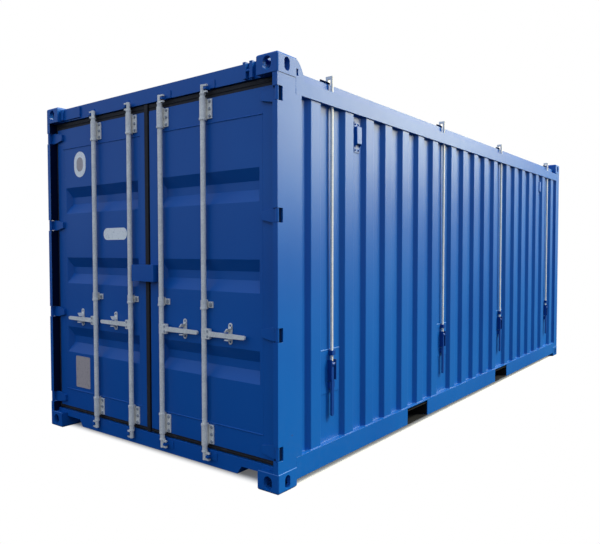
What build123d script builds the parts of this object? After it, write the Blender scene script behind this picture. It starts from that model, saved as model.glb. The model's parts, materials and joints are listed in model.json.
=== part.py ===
from build123d import *
import os

# A twenty-foot steel container with a lift-off roof, in millimetres.
# +Z is up, the doors face -Y, and the origin is the middle of the base.

os.makedirs("parts", exist_ok=True)

# Overall size
length = 6058
width = 2438
height = 2591
half_l = length / 2
half_w = width / 2

# Corner castings
casting_x = 162
casting_y = 178
casting_z = 118
casting_wall = 26
casting_round = 16
side_hole_w = 51
end_hole_w = 64
wall_hole_h = 81
lift_slot_w = 63.5
lift_slot_l = 124
casting_in_x = half_w - casting_x
casting_in_y = half_l - casting_y

# Planes that the steel frame shares
frame_inset = 3
weld_gap = 0.4
skin_x = half_w - frame_inset
skin_y = half_l - frame_inset

# Rails, sill and headers
bottom_rail_bottom = 45
bottom_rail_top = 182
rail_web = 6
bottom_flange = 40
top_flange = 50
top_rail_drop = 125
top_rail_h = 90
top_rail_w = 60
top_rail_wall = 4
top_rail_top = height - top_rail_drop
top_rail_bottom = top_rail_top - top_rail_h
sill_bottom = 35
sill_top = 141
header_drop = 16
header_h = 102
header_top = height - header_drop
header_bottom = header_top - header_h
end_face_set_back = 49
end_face_y = half_l - end_face_set_back
front_face_set_back = 9
front_face_y = half_l - front_face_set_back
threshold_depth = 54
sill_notch_w = 177
sill_notch_slant = 37
sill_notch_top = 88
header_stop_h = 40
pivot_inset = 90
pivot_w = 78
pivot_lug_t = 24
pivot_depth = 26
pivot_foot = 4
pivot_head = 2
pivot_pin_r = 8
header_latch_inset = 128
header_latch_w = 242
header_latch_h = 80
header_latch_t = 12
latch_lug_w = 32
latch_lug_depth = 26
guard_l = 76
guard_crown_l = 30
guard_crown_drop = 24
guard_fall_l = 52
guard_fall_drop = 48
guard_w = 32
guard_foot_h = 34
guard_slot_w = 22
guard_slot_foot = 20
guard_slot_h = 42
pivot_x = casting_in_x - pivot_inset
header_latch_x = header_latch_inset - casting_in_x

# Corner posts
strip_w = 38
post_box_w = 116
post_wall = 6
post_plate = 12
post_plate_l = 56
front_post_depth = 141
strip_in_x = skin_x - strip_w
post_box_x = skin_x - post_box_w
stop_y = casting_in_y + threshold_depth
panel_rear_y = -(casting_in_y - post_plate_l)
panel_front_y = skin_y - front_post_depth

# Side wall corrugation
sheet = 2
crest_inset = 9
corrugation_depth = 30
crest_w = 105
slope_run = 30
crest_pitch = 272
rod_bay_pitch = 388
middle_crest_count = 2
crest_x = skin_x - crest_inset
trough_x = crest_x - corrugation_depth
panel_mid_y = (panel_rear_y + panel_front_y) / 2
half_panel = (panel_front_y - panel_rear_y) / 2
bays_room = middle_crest_count * crest_pitch + 2 * rod_bay_pitch
outer_room = half_panel - bays_room - crest_w / 2 - 2 * slope_run
outer_crests = int(outer_room / crest_pitch)
bay_steps = [crest_pitch] * middle_crest_count + [rod_bay_pitch]
bay_steps += [crest_pitch] * outer_crests + [rod_bay_pitch]
crest_offsets = [sum(bay_steps[:count]) for count in range(len(bay_steps) + 1)]
inner_bay = (crest_offsets[middle_crest_count] + crest_offsets[middle_crest_count + 1]) / 2
outer_bay = (crest_offsets[-2] + crest_offsets[-1]) / 2
vent_bay = (crest_offsets[-3] + crest_offsets[-2]) / 2

# Front wall corrugation
front_crest_inset = 6
front_depth = 42
front_crest_w = 90
front_slope_run = 40
front_pitch = 236
front_room = post_box_x - front_crest_w / 2 - 2 * front_slope_run
front_side_crests = int(front_room / front_pitch)

# Floor, crossmembers and fork pockets
floor_t = 28
crossmember_flange = 45
crossmember_web = 5
crossmember_pitch = 300
crossmember_end_gap = 100
pocket_w = 360
pocket_spacing = 2000
pocket_mid_y = -212
pocket_plate = 6
pocket_lip = 10
pocket_strap = 260
floor_bottom = bottom_rail_top - floor_t
crossmember_bottom = bottom_rail_bottom + rail_web
pocket_rows = [pocket_mid_y - pocket_spacing / 2, pocket_mid_y + pocket_spacing / 2]

# Doors
post_gap = 35
centre_gap = 20
door_face_set_back = 54
leaf_t = 50
sill_gap = 35
header_gap = 56
head_rail_h = 159
foot_rail_h = 144
stile_w = 84
door_sheet = 3
press_h = 205
press_floor = 55
press_depth = 40
press_pitch = 558
press_drop = 5
press_margin = 26
press_end_run = 32
leaf_in_x = centre_gap / 2
leaf_out_x = strip_in_x - post_gap
leaf_bottom = sill_top + sill_gap
leaf_top = header_bottom - header_gap
door_face_y = half_l - door_face_set_back

# Door gasket
gasket_t = 26
gasket_set_back = 7
gasket_top_lip = 50
gasket_foot_lip = 29
gasket_side_lip = 29
gasket_centre_lip = 6
gasket_flap_w = 36
gasket_flap_t = 4

# Hinges
hinge_count = 4
hinge_foot = 64
hinge_head = 65
hinge_h = 80
hinge_gap = 2.5
pin_r = 8
pin_fit = 0.2
pin_seat = 15
pin_cap_gap = 0.2
knuckle_r = 12
knuckle_fit = 0.3
pin_inset = 13
pin_set_back = 15
blade_offset = 20
blade_t = 10
blade_reach = 84
blade_tip_h = 46
neck_w = 12
notch_clear = 6
pin_x = skin_x - pin_inset
pin_y = half_l - pin_set_back
hinge_step = (leaf_top - hinge_head - leaf_bottom - hinge_foot) / (hinge_count - 1)
hinge_rows = [leaf_bottom + hinge_foot + count * hinge_step for count in range(hinge_count)]
blade_face_y = pin_y - blade_offset
notch_y = blade_face_y - blade_t - notch_clear

# Lock bars
bar_rows = [-608, -181, 159, 579]
bar_r = 17
bar_set_back = 24
bar_fit = 0.4
bar_foot = 42
bar_head = 27
cam_core_r = 14
cam_h = 52
cam_ring_r = 20
cam_ring_h = 10
cam_reach = 42
cam_prong_t = 12
cam_prong_w = 16
keeper_gap = 6
keeper_foot_w = 70
keeper_foot_t = 6
keeper_tongue_l = 24
keeper_reach = 40
bracket_overhang = 4
bracket_h = 145
guide_rise = 157
guide_h = 60
bracket_r = 21
bracket_ring_r = 24
bracket_ring_h = 14
bracket_web_w = 16
bracket_flange_w = 58
bracket_flange_short = 10
bracket_flange_t = 8
bar_y = half_l - bar_set_back
bar_bottom = sill_bottom + bar_foot
bar_top = header_bottom + bar_head
top_bracket_z = leaf_top + bracket_overhang - bracket_h
foot_bracket_z = leaf_bottom - bracket_overhang

# Handles and their catches
handle_z = 905
handle_l = 360
handle_root_h = 34
handle_tip_h = 26
handle_t = 14
hub_r = 18.5
hub_w = 54
hub_face = 9
hub_back = 14
hub_h = 66
catch_offset = 210
catch_w = 33
catch_h = 136
catch_eye_r = 8
hasp_w = 14
hasp_lean = 13
catch_t = 6
catch_drop = 12
cradle_gap = 6
cradle_t = 6
cradle_depth = 38
guide_z = handle_z + guide_rise

# Lock box over the joint of the doors
lock_box_left = -140
lock_box_right = 100
lock_box_bottom = 1225
lock_box_top = 1343
lock_box_wall = 4
lock_box_set_back = 4
lock_box_clear = 10
lock_box_front = half_l - lock_box_set_back

# Lift-off roof
roof_edge_gap = 8
roof_edge_h = 56
roof_edge_w = 50
roof_end_gap = 2
roof_sheet = 3
roof_crown = 30
roof_rib_h = 10
roof_rib_w = 62
roof_rib_pitch = 250
roof_rib_margin = 20

# Roof-lock gear
rod_r = 9.5
rod_fit = 0.3
rod_inset = 21
rod_foot_gap = 7
rod_hole_clear = 2
hook_rise = 54
hook_w = 18
hook_t = 18
hook_reach = 44
hook_seat_gap = 0.3
doubler_t = 4
doubler_clear = 4.5
doubler_below = 190
doubler_above = 98
guide_block_rise = 62
guide_block_h = 30
guide_block_w = 36
lever_z = 690
lever_inset = 16
lever_pin_r = 6
lever_fit = 0.3
lever_hub_r = 15
lever_w = 30
lever_t = 12
lever_l = 345
cheek_gap = 7
cheek_t = 6
cheek_below = 104
cheek_above = 32
clip_below = 158
clip_h = 42
clip_depth = 20
rod_x = skin_x - rod_inset
rod_bottom = lever_z + lever_hub_r + rod_foot_gap
rod_hole_r = rod_r + rod_hole_clear
lever_x = skin_x - lever_inset
lever_tip_z = lever_z - lever_l
doubler_w = rod_bay_pitch - crest_w - 2 * slope_run - 2 * doubler_clear
guide_block_z = lever_z + guide_block_rise
roof_x = rod_x - rod_r - roof_edge_gap
roof_y = casting_in_y - roof_end_gap
roof_top = top_rail_top + roof_edge_h
rod_top = roof_top + hook_rise

# Ventilators
vent_drop = 40
vent_plate_w = 72
vent_plate_h = 213
vent_plate_t = 4
vent_tab = 36
vent_w = 60
vent_t = 26
vent_wall = 3
vent_slope = 24
vent_top = top_rail_bottom - vent_drop


def save(part, name):
    """Label a finished piece and write it to its own STEP file."""
    part.label = name
    export_step(part, f"parts/{name}.step")


def block(x, y, z, mode=Mode.ADD):
    """Add or cut a rectangular block between three pairs of limits."""
    with Locations(((x[0] + x[1]) / 2, (y[0] + y[1]) / 2, (z[0] + z[1]) / 2)):
        Box(x[1] - x[0], y[1] - y[0], z[1] - z[0], mode=mode)


def mirrored(part, plane=Plane.YZ):
    """Return the twin of a piece on the other side of a plane."""
    with BuildPart() as twin:
        mirror(part, about=plane)
    return twin.part


def with_twin(part, plane=Plane.YZ):
    """Return a piece together with its twin on the other side of a plane."""
    with BuildPart() as pair:
        add(part)
        mirror(part, about=plane)
    return pair.part


def corrugated_line(start, end, centres, crest, trough, top_w, run):
    """Return the points of a trapezoid sheet, as pairs of depth and place along it."""
    points = [(crest, start), (trough, start + run)]
    for centre in centres:
        points.append((trough, centre - top_w / 2 - run))
        points.append((crest, centre - top_w / 2))
        points.append((crest, centre + top_w / 2))
        points.append((trough, centre + top_w / 2 + run))
    points.append((trough, end - run))
    points.append((crest, end))
    return points


# Corner castings: hollow blocks with an oval hole in each outer face
casting_mid_x = half_w - casting_x / 2
casting_mid_y = half_l - casting_y / 2
with BuildPart() as casting:
    with BuildSketch():
        with Locations((casting_mid_x, -casting_mid_y)):
            Rectangle(casting_x, casting_y)
    extrude(amount=casting_z)
    fillet(casting.faces().sort_by(Axis.Z)[0].edges(), casting_round)
    block(
        (casting_in_x + casting_wall, half_w - casting_wall),
        (-half_l + casting_wall, -casting_in_y - casting_wall),
        (casting_wall, casting_z - casting_wall),
        Mode.SUBTRACT,
    )
    with BuildSketch(Plane.YZ.offset(half_w)):
        with Locations((-casting_mid_y, casting_z / 2)):
            SlotOverall(wall_hole_h, side_hole_w, rotation=90)
    extrude(amount=-casting_wall, mode=Mode.SUBTRACT)
    with BuildSketch(Plane.XZ.offset(half_l)):
        with Locations((casting_mid_x, casting_z / 2)):
            SlotOverall(wall_hole_h, end_hole_w, rotation=90)
    extrude(amount=-casting_wall, mode=Mode.SUBTRACT)
    with BuildSketch():
        with Locations((casting_mid_x, -casting_mid_y)):
            SlotOverall(lift_slot_l, lift_slot_w, rotation=90)
    extrude(amount=casting_wall, mode=Mode.SUBTRACT)

bottom_castings = with_twin(with_twin(casting.part), Plane.XZ)
save(bottom_castings, "corner_castings_bottom")
save(mirrored(bottom_castings, Plane.XY.offset(height / 2)), "corner_castings_top")

# Rear corner posts: a front strip that carries the hinges, and a hollow box behind the doors
with BuildPart() as rear_post:
    with BuildSketch(Plane.XY.offset(casting_z)):
        with BuildLine():
            Polyline(
                (strip_in_x, -skin_y),
                (skin_x, -skin_y),
                (skin_x, -casting_in_y),
                (post_box_x, -casting_in_y),
                (post_box_x, -stop_y),
                (strip_in_x, -stop_y),
                close=True,
            )
        make_face()
    extrude(amount=height - 2 * casting_z)
    block(
        (post_box_x + post_wall, skin_x - post_wall),
        (-stop_y + post_wall, -casting_in_y - post_wall),
        (casting_z, height - casting_z),
        Mode.SUBTRACT,
    )
    block(
        (skin_x - post_plate, skin_x),
        (-casting_in_y, panel_rear_y),
        (bottom_rail_top, top_rail_bottom),
    )
    for row in hinge_rows:
        half_notch = hinge_h / 2 + hinge_gap
        block(
            (strip_in_x, skin_x),
            (-skin_y, -notch_y),
            (row - half_notch, row + half_notch),
            Mode.SUBTRACT,
        )
        with BuildSketch(Plane.XY.offset(row - half_notch - pin_seat)):
            with Locations((pin_x, -pin_y)):
                Circle(pin_r + pin_fit)
        extrude(amount=2 * (half_notch + pin_seat), mode=Mode.SUBTRACT)

save(rear_post.part, "rear_corner_post_right")
save(mirrored(rear_post.part), "rear_corner_post_left")

# Hinge pins, seated in the posts above and below each knuckle
with BuildPart() as pins:
    for row in hinge_rows:
        pin_half = hinge_h / 2 + hinge_gap + pin_seat - pin_cap_gap
        with BuildSketch(Plane.XY.offset(row - pin_half)):
            with Locations((pin_x, -pin_y)):
                Circle(pin_r)
        extrude(amount=2 * pin_half)

save(with_twin(pins.part), "hinge_pins")

# Front corner posts: plain hollow boxes
with BuildPart() as front_post:
    with BuildSketch(Plane.XY.offset(casting_z)):
        with Locations((skin_x - post_box_w / 2, skin_y - front_post_depth / 2)):
            Rectangle(post_box_w, front_post_depth)
            Rectangle(post_box_w - 2 * post_wall, front_post_depth - 2 * post_wall, mode=Mode.SUBTRACT)
    extrude(amount=height - 2 * casting_z)

save(with_twin(front_post.part), "front_corner_posts")

# Bottom side rails: lengths of channel between the fork pockets, and a lip over each pocket
with BuildPart() as bottom_rail:
    with BuildSketch(Plane.XZ.offset(casting_in_y)):
        with BuildLine():
            Polyline(
                (skin_x, bottom_rail_bottom),
                (skin_x, bottom_rail_top),
                (skin_x - top_flange, bottom_rail_top),
                (skin_x - top_flange, bottom_rail_top - rail_web),
                (skin_x - rail_web, bottom_rail_top - rail_web),
                (skin_x - rail_web, bottom_rail_bottom + rail_web),
                (skin_x - bottom_flange, bottom_rail_bottom + rail_web),
                (skin_x - bottom_flange, bottom_rail_bottom),
                close=True,
            )
        make_face()
    extrude(amount=-2 * casting_in_y)
    block(
        (skin_x - top_flange, skin_x),
        (casting_in_y, panel_front_y),
        (casting_z, bottom_rail_top),
    )
    for row in pocket_rows:
        block(
            (skin_x - top_flange, skin_x),
            (row - pocket_w / 2, row + pocket_w / 2),
            (bottom_rail_bottom, bottom_rail_top),
            Mode.SUBTRACT,
        )
        lip_half = pocket_w / 2 - weld_gap
        block(
            (skin_x - top_flange, skin_x),
            (row - lip_half, row + lip_half),
            (bottom_rail_top - pocket_lip, bottom_rail_top),
        )

save(bottom_rail.part, "bottom_side_rail_right")
save(mirrored(bottom_rail.part), "bottom_side_rail_left")

# Top side rails: box sections that the roof-lock rods pass through, with a guard behind the rear casting
bay_rows = [panel_mid_y + offset for offset in (-outer_bay, -inner_bay, inner_bay, outer_bay)]
with BuildPart() as top_rail:
    with BuildSketch(Plane.XZ.offset(casting_in_y)):
        with Locations((skin_x - top_rail_w / 2, (top_rail_bottom + top_rail_top) / 2)):
            Rectangle(top_rail_w, top_rail_top - top_rail_bottom)
            Rectangle(
                top_rail_w - 2 * top_rail_wall,
                top_rail_top - top_rail_bottom - 2 * top_rail_wall,
                mode=Mode.SUBTRACT,
            )
    extrude(amount=-(casting_in_y + panel_front_y))
    with BuildSketch(Plane.XY.offset(top_rail_bottom)):
        with Locations([(rod_x, row) for row in bay_rows]):
            Circle(rod_hole_r)
    extrude(amount=top_rail_top - top_rail_bottom, mode=Mode.SUBTRACT)
    with BuildSketch(Plane.YZ.offset(skin_x - guard_w)):
        with BuildLine():
            Polyline(
                (-casting_in_y, top_rail_top),
                (-casting_in_y, height - frame_inset),
                (-casting_in_y + guard_crown_l, height - guard_crown_drop),
                (-casting_in_y + guard_fall_l, height - guard_fall_drop),
                (-casting_in_y + guard_l, top_rail_top + guard_foot_h),
                (-casting_in_y + guard_l, top_rail_top),
                close=True,
            )
        make_face()
    extrude(amount=guard_w)
    block(
        (skin_x - guard_w, skin_x),
        (-casting_in_y, -casting_in_y + guard_slot_w),
        (top_rail_top + guard_slot_foot, top_rail_top + guard_slot_foot + guard_slot_h),
        Mode.SUBTRACT,
    )

save(top_rail.part, "top_side_rail_right")
save(mirrored(top_rail.part), "top_side_rail_left")

# Door sill: a box with a notch beside each casting and a threshold behind the doors
with BuildPart() as sill:
    block((-casting_in_x, casting_in_x), (-end_face_y, -casting_in_y), (sill_bottom, sill_top))
    block((-post_box_x, post_box_x), (-stop_y, -casting_in_y), (casting_z, bottom_rail_top))
    block((-strip_in_x, strip_in_x), (-end_face_y, -stop_y), (casting_z, sill_top))
    for side in (-1, 1):
        notch_in = casting_in_x - sill_notch_w
        with BuildSketch(Plane.XZ.offset(end_face_y)):
            with BuildLine():
                Polyline(
                    (side * casting_in_x, sill_bottom),
                    (side * casting_in_x, sill_notch_top),
                    (side * notch_in, sill_notch_top),
                    (side * (notch_in - sill_notch_slant), sill_bottom),
                    close=True,
                )
            make_face()
        extrude(amount=-(end_face_y - casting_in_y), mode=Mode.SUBTRACT)

save(sill.part, "door_sill")

# Door header: a box with a stop behind the doors, the pivot that it swings on and its latch
with BuildPart() as header:
    block((-casting_in_x, casting_in_x), (-end_face_y, -casting_in_y), (header_bottom, header_top))
    block(
        (-post_box_x, post_box_x),
        (-stop_y, -casting_in_y),
        (header_bottom - header_stop_h, header_bottom),
    )
    header_mid_z = (header_bottom + header_top) / 2
    pivot_front = end_face_y + pivot_depth
    pivot_z = (header_bottom + pivot_foot, header_top + pivot_head)
    for side in (-1, 1):
        lug_x = sorted((pivot_x + side * pivot_w / 2, pivot_x + side * (pivot_w / 2 - pivot_lug_t)))
        block(lug_x, (-pivot_front, -end_face_y), pivot_z)
    with BuildSketch(Plane.YZ.offset(pivot_x - pivot_w / 2)):
        with Locations((-pivot_front + pivot_pin_r, header_mid_z)):
            Circle(pivot_pin_r)
    extrude(amount=pivot_w)
    latch_z = (header_mid_z - header_latch_h / 2, header_mid_z + header_latch_h / 2)
    latch_x = (header_latch_x - header_latch_w / 2, header_latch_x + header_latch_w / 2)
    block(latch_x, (-end_face_y - header_latch_t, -end_face_y), latch_z)
    block((latch_x[0], latch_x[0] + latch_lug_w), (-end_face_y - latch_lug_depth, -end_face_y), latch_z)

save(header.part, "door_header")

# Front sill and front header
with BuildPart() as front_sill:
    block((-casting_in_x, casting_in_x), (casting_in_y, front_face_y), (sill_bottom, bottom_rail_top))
    block((-post_box_x, post_box_x), (panel_front_y, front_face_y), (casting_z, bottom_rail_top))

save(front_sill.part, "front_sill")

with BuildPart() as front_header:
    block((-casting_in_x, casting_in_x), (casting_in_y, front_face_y), (header_bottom, header_top))

save(front_header.part, "front_header")

# Side walls: one trapezoid sheet each, with wide bays for the roof-lock rods
side_crests = [panel_mid_y - offset for offset in reversed(crest_offsets[1:])]
side_crests += [panel_mid_y + offset for offset in crest_offsets]
side_line = corrugated_line(
    panel_rear_y, panel_front_y, side_crests, crest_x, trough_x, crest_w, slope_run
)
with BuildPart() as side_wall:
    with BuildSketch(Plane.XY.offset(bottom_rail_top)):
        with BuildLine():
            inner_line = [(x - sheet, y) for x, y in reversed(side_line)]
            Polyline(*side_line, *inner_line, close=True)
        make_face()
    extrude(amount=top_rail_bottom - bottom_rail_top)

save(side_wall.part, "side_wall_right")
save(mirrored(side_wall.part), "side_wall_left")

# Front wall: the same kind of sheet, deeper
front_crest_y = front_face_y - front_crest_inset
front_centres = [count * front_pitch for count in range(-front_side_crests, front_side_crests + 1)]
front_line = corrugated_line(
    -post_box_x,
    post_box_x,
    front_centres,
    front_crest_y,
    front_crest_y - front_depth,
    front_crest_w,
    front_slope_run,
)
with BuildPart() as front_wall:
    with BuildSketch(Plane.XY.offset(bottom_rail_top)):
        with BuildLine():
            outer_line = [(x, y) for y, x in front_line]
            back_line = [(x, y - sheet) for y, x in reversed(front_line)]
            Polyline(*outer_line, *back_line, close=True)
        make_face()
    extrude(amount=header_bottom - bottom_rail_top)

save(front_wall.part, "front_wall")

# Crossmembers: channels under the floor, left out where the fork pockets run
half_members = int((casting_in_y - crossmember_end_gap) / crossmember_pitch)
member_rows = [count * crossmember_pitch for count in range(-half_members, half_members + 1)]
pocket_reach = pocket_w / 2 + pocket_plate + crossmember_flange
member_rows = [row for row in member_rows if all(abs(row - mid) > pocket_reach for mid in pocket_rows)]
member_end = skin_x - rail_web
with BuildPart() as crossmembers:
    for row in member_rows:
        with BuildSketch(Plane.YZ.offset(-member_end)):
            with BuildLine():
                Polyline(
                    (row, crossmember_bottom),
                    (row + crossmember_flange, crossmember_bottom),
                    (row + crossmember_flange, crossmember_bottom + crossmember_web),
                    (row + crossmember_web, crossmember_bottom + crossmember_web),
                    (row + crossmember_web, floor_bottom - crossmember_web),
                    (row + crossmember_flange, floor_bottom - crossmember_web),
                    (row + crossmember_flange, floor_bottom),
                    (row, floor_bottom),
                    close=True,
                )
            make_face()
        extrude(amount=2 * member_end)

save(crossmembers.part, "crossmembers")

# Fork pockets: a roof plate, two side plates and a strap under each mouth
with BuildPart() as pockets:
    for row in pocket_rows:
        inner = pocket_w / 2
        outer = inner + pocket_plate
        roof_bottom = floor_bottom - pocket_plate
        block((-member_end, member_end), (row - outer, row + outer), (roof_bottom, floor_bottom))
        for side in (-1, 1):
            plate = sorted((row + side * inner, row + side * outer))
            plate_z = (crossmember_bottom + weld_gap, roof_bottom - weld_gap)
            block((-member_end, member_end), plate, plate_z)
            strap = sorted((side * skin_x, side * (skin_x - pocket_strap)))
            strap_half = inner - weld_gap
            block(strap, (row - strap_half, row + strap_half), (bottom_rail_bottom, crossmember_bottom))
            seat = sorted((side * (skin_x - bottom_flange - weld_gap), side * (skin_x - pocket_strap)))
            block(seat, (row - outer, row + outer), (bottom_rail_bottom, crossmember_bottom))

save(pockets.part, "fork_pockets")

# Floor
floor_x = skin_x - top_flange
with BuildPart() as floor:
    block((-floor_x, floor_x), (-casting_in_y, casting_in_y), (floor_bottom, bottom_rail_top))

save(floor.part, "floor")

# Lift-off roof: an edge frame, a crowned sheet and pressed ribs across it
with BuildPart() as roof:
    with BuildSketch(Plane.XY.offset(top_rail_top)):
        Rectangle(2 * roof_x, 2 * roof_y)
        Rectangle(2 * (roof_x - roof_edge_w), 2 * (roof_y - roof_edge_w), mode=Mode.SUBTRACT)
    extrude(amount=roof_edge_h)
    with BuildSketch(Plane.XZ.offset(roof_y)):
        with BuildLine():
            Polyline(
                (-roof_x, roof_top - roof_sheet),
                (0, roof_top + roof_crown - roof_sheet),
                (roof_x, roof_top - roof_sheet),
                (roof_x, roof_top),
                (0, roof_top + roof_crown),
                (-roof_x, roof_top),
                close=True,
            )
        make_face()
    extrude(amount=-2 * roof_y)
    rib_room = 2 * (roof_y - roof_edge_w - roof_rib_margin) - roof_rib_w
    roof_ribs = int(rib_room / roof_rib_pitch) + 1
    rib_x = roof_x - roof_edge_w - roof_rib_margin
    rib_foot = roof_top + roof_crown * (1 - rib_x / roof_x)
    for count in range(roof_ribs):
        rib_y = (count - (roof_ribs - 1) / 2) * roof_rib_pitch
        with BuildSketch(Plane.XZ.offset(rib_y + roof_rib_w / 2)):
            with BuildLine():
                Polyline(
                    (-rib_x, rib_foot - roof_sheet),
                    (0, roof_top + roof_crown - roof_sheet),
                    (rib_x, rib_foot - roof_sheet),
                    (rib_x - roof_rib_h, rib_foot + roof_rib_h),
                    (0, roof_top + roof_crown + roof_rib_h),
                    (-rib_x + roof_rib_h, rib_foot + roof_rib_h),
                    close=True,
                )
            make_face()
        extrude(amount=-roof_rib_w)

save(roof.part, "hard_top_roof")

# Ventilators: hoods on bolted plates in the troughs of the side walls, open below
with BuildPart() as vents:
    hood_bottom = vent_top - vent_plate_h + vent_tab
    for row in (panel_mid_y - vent_bay, panel_mid_y + vent_bay):
        block(
            (trough_x, trough_x + vent_plate_t),
            (row - vent_plate_w / 2, row + vent_plate_w / 2),
            (vent_top - vent_plate_h, vent_top),
        )
        with BuildSketch(Plane.XZ.offset(-row - vent_w / 2)):
            with BuildLine():
                Polyline(
                    (trough_x + vent_plate_t, hood_bottom),
                    (trough_x + vent_t, hood_bottom + vent_slope),
                    (trough_x + vent_t, vent_top - vent_tab),
                    (trough_x + vent_plate_t, vent_top - vent_tab),
                    close=True,
                )
            make_face()
        extrude(amount=vent_w)
        block(
            (trough_x + vent_plate_t, trough_x + vent_t - vent_wall),
            (row - vent_w / 2 + vent_wall, row + vent_w / 2 - vent_wall),
            (hood_bottom, vent_top - vent_tab - vent_wall),
            Mode.SUBTRACT,
        )

save(with_twin(vents.part), "ventilators")

# Roof-lock brackets: a doubler plate with a rod guide, a clevis with its pin and a handle clip
with BuildPart() as brackets:
    plate_x = trough_x + doubler_t
    cheek_in = lever_w / 2 + cheek_gap
    cheek_out = cheek_in + cheek_t
    guide_front = rod_x + guide_block_w / 2
    for row in bay_rows:
        block(
            (trough_x, plate_x),
            (row - doubler_w / 2, row + doubler_w / 2),
            (lever_z - doubler_below, lever_z + doubler_above),
        )
        block(
            (plate_x, guide_front),
            (row - guide_block_w / 2, row + guide_block_w / 2),
            (guide_block_z, guide_block_z + guide_block_h),
        )
        with BuildSketch(Plane.XY.offset(guide_block_z)):
            with Locations((rod_x, row)):
                Circle(rod_r + rod_fit)
        extrude(amount=guide_block_h, mode=Mode.SUBTRACT)
        for side in (-1, 1):
            cheek = sorted((row + side * cheek_in, row + side * cheek_out))
            block((plate_x, lever_x + lever_hub_r), cheek, (lever_z - cheek_below, lever_z + cheek_above))
            clip_z = (lever_z - clip_below, lever_z - clip_below + clip_h)
            block((plate_x, plate_x + clip_depth), cheek, clip_z)
        with BuildSketch(Plane.XZ.offset(-row - cheek_in)):
            with Locations((lever_x, lever_z)):
                Circle(lever_pin_r)
        extrude(amount=2 * cheek_in)

save(with_twin(brackets.part), "roof_lock_brackets")


def roof_lock_lever(row):
    """Return the hanging handle that turns on the clevis pin of one bay."""
    with BuildPart() as lever:
        with BuildSketch(Plane.XZ.offset(-row - lever_w / 2)):
            with Locations((lever_x, lever_z)):
                Circle(lever_hub_r)
        extrude(amount=lever_w)
        with BuildSketch(Plane.YZ.offset(lever_x - lever_t / 2)):
            with BuildLine():
                Polyline(
                    (row - lever_w / 2, lever_z),
                    (row - lever_w / 2, lever_tip_z + lever_w / 2),
                )
                RadiusArc(
                    (row - lever_w / 2, lever_tip_z + lever_w / 2),
                    (row + lever_w / 2, lever_tip_z + lever_w / 2),
                    -lever_w / 2,
                )
                Polyline(
                    (row + lever_w / 2, lever_tip_z + lever_w / 2),
                    (row + lever_w / 2, lever_z),
                    (row - lever_w / 2, lever_z),
                )
            make_face()
        extrude(amount=lever_t)
        with BuildSketch(Plane.XZ.offset(-row - lever_w / 2)):
            with Locations((lever_x, lever_z)):
                Circle(lever_pin_r + lever_fit)
        extrude(amount=lever_w, mode=Mode.SUBTRACT)
    return lever.part


def roof_lock_rod(row):
    """Return the rod of one bay, with the hook that holds the roof's edge down."""
    with BuildPart() as rod:
        with BuildSketch(Plane.XY.offset(rod_bottom)):
            with Locations((rod_x, row)):
                Circle(rod_r)
        extrude(amount=rod_top - rod_bottom)
        hook_tip = rod_x - hook_reach
        block(
            (hook_tip, rod_x),
            (row - hook_w / 2, row + hook_w / 2),
            (rod_top - hook_t, rod_top),
        )
        block(
            (hook_tip, hook_tip + hook_t),
            (row - hook_w / 2, row + hook_w / 2),
            (roof_top + roof_crown * (1 - hook_tip / roof_x) + hook_seat_gap, rod_top),
        )
    return rod.part


for number, row in enumerate(bay_rows, start=1):
    lever_part = roof_lock_lever(row)
    rod_part = roof_lock_rod(row)
    save(mirrored(lever_part), f"roof_lock_lever_left_{number}")
    save(mirrored(rod_part), f"roof_lock_rod_left_{number}")
    save(lever_part, f"roof_lock_lever_right_{number}")
    save(rod_part, f"roof_lock_rod_right_{number}")

# Door frames: a welded ring with the hinge blades on its outer edge
with BuildPart() as door_frame:
    with BuildSketch(Plane.XZ.offset(door_face_y)):
        with Locations(((leaf_in_x + leaf_out_x) / 2, (leaf_bottom + leaf_top) / 2)):
            Rectangle(leaf_out_x - leaf_in_x, leaf_top - leaf_bottom)
        opening_mid_z = (leaf_bottom + foot_rail_h + leaf_top - head_rail_h) / 2
        with Locations(((leaf_in_x + leaf_out_x) / 2, opening_mid_z)):
            Rectangle(
                leaf_out_x - leaf_in_x - 2 * stile_w,
                leaf_top - leaf_bottom - foot_rail_h - head_rail_h,
                mode=Mode.SUBTRACT,
            )
    extrude(amount=-leaf_t)
    blade_tip = leaf_out_x - blade_reach
    blade_end = pin_x + neck_w / 2
    for row in hinge_rows:
        with BuildSketch(Plane.XZ.offset(blade_face_y)):
            with BuildLine():
                Polyline(
                    (blade_tip, row - blade_tip_h / 2),
                    (leaf_out_x, row - hinge_h / 2),
                    (blade_end, row - hinge_h / 2),
                    (blade_end, row + hinge_h / 2),
                    (leaf_out_x, row + hinge_h / 2),
                    (blade_tip, row + blade_tip_h / 2),
                    close=True,
                )
            make_face()
        extrude(amount=-blade_t)
        block(
            (blade_tip, leaf_out_x),
            (-blade_face_y + blade_t, -door_face_y),
            (row - blade_tip_h / 2, row + blade_tip_h / 2),
        )
        with BuildSketch(Plane.XY.offset(row - hinge_h / 2)):
            with Locations((pin_x, -(pin_y + blade_face_y) / 2)):
                Rectangle(neck_w, pin_y - blade_face_y)
            with Locations((pin_x, -pin_y)):
                Circle(knuckle_r)
                Circle(pin_r + knuckle_fit, mode=Mode.SUBTRACT)
        extrude(amount=hinge_h)

save(door_frame.part, "door_frame_right")
save(mirrored(door_frame.part), "door_frame_left")

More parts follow.
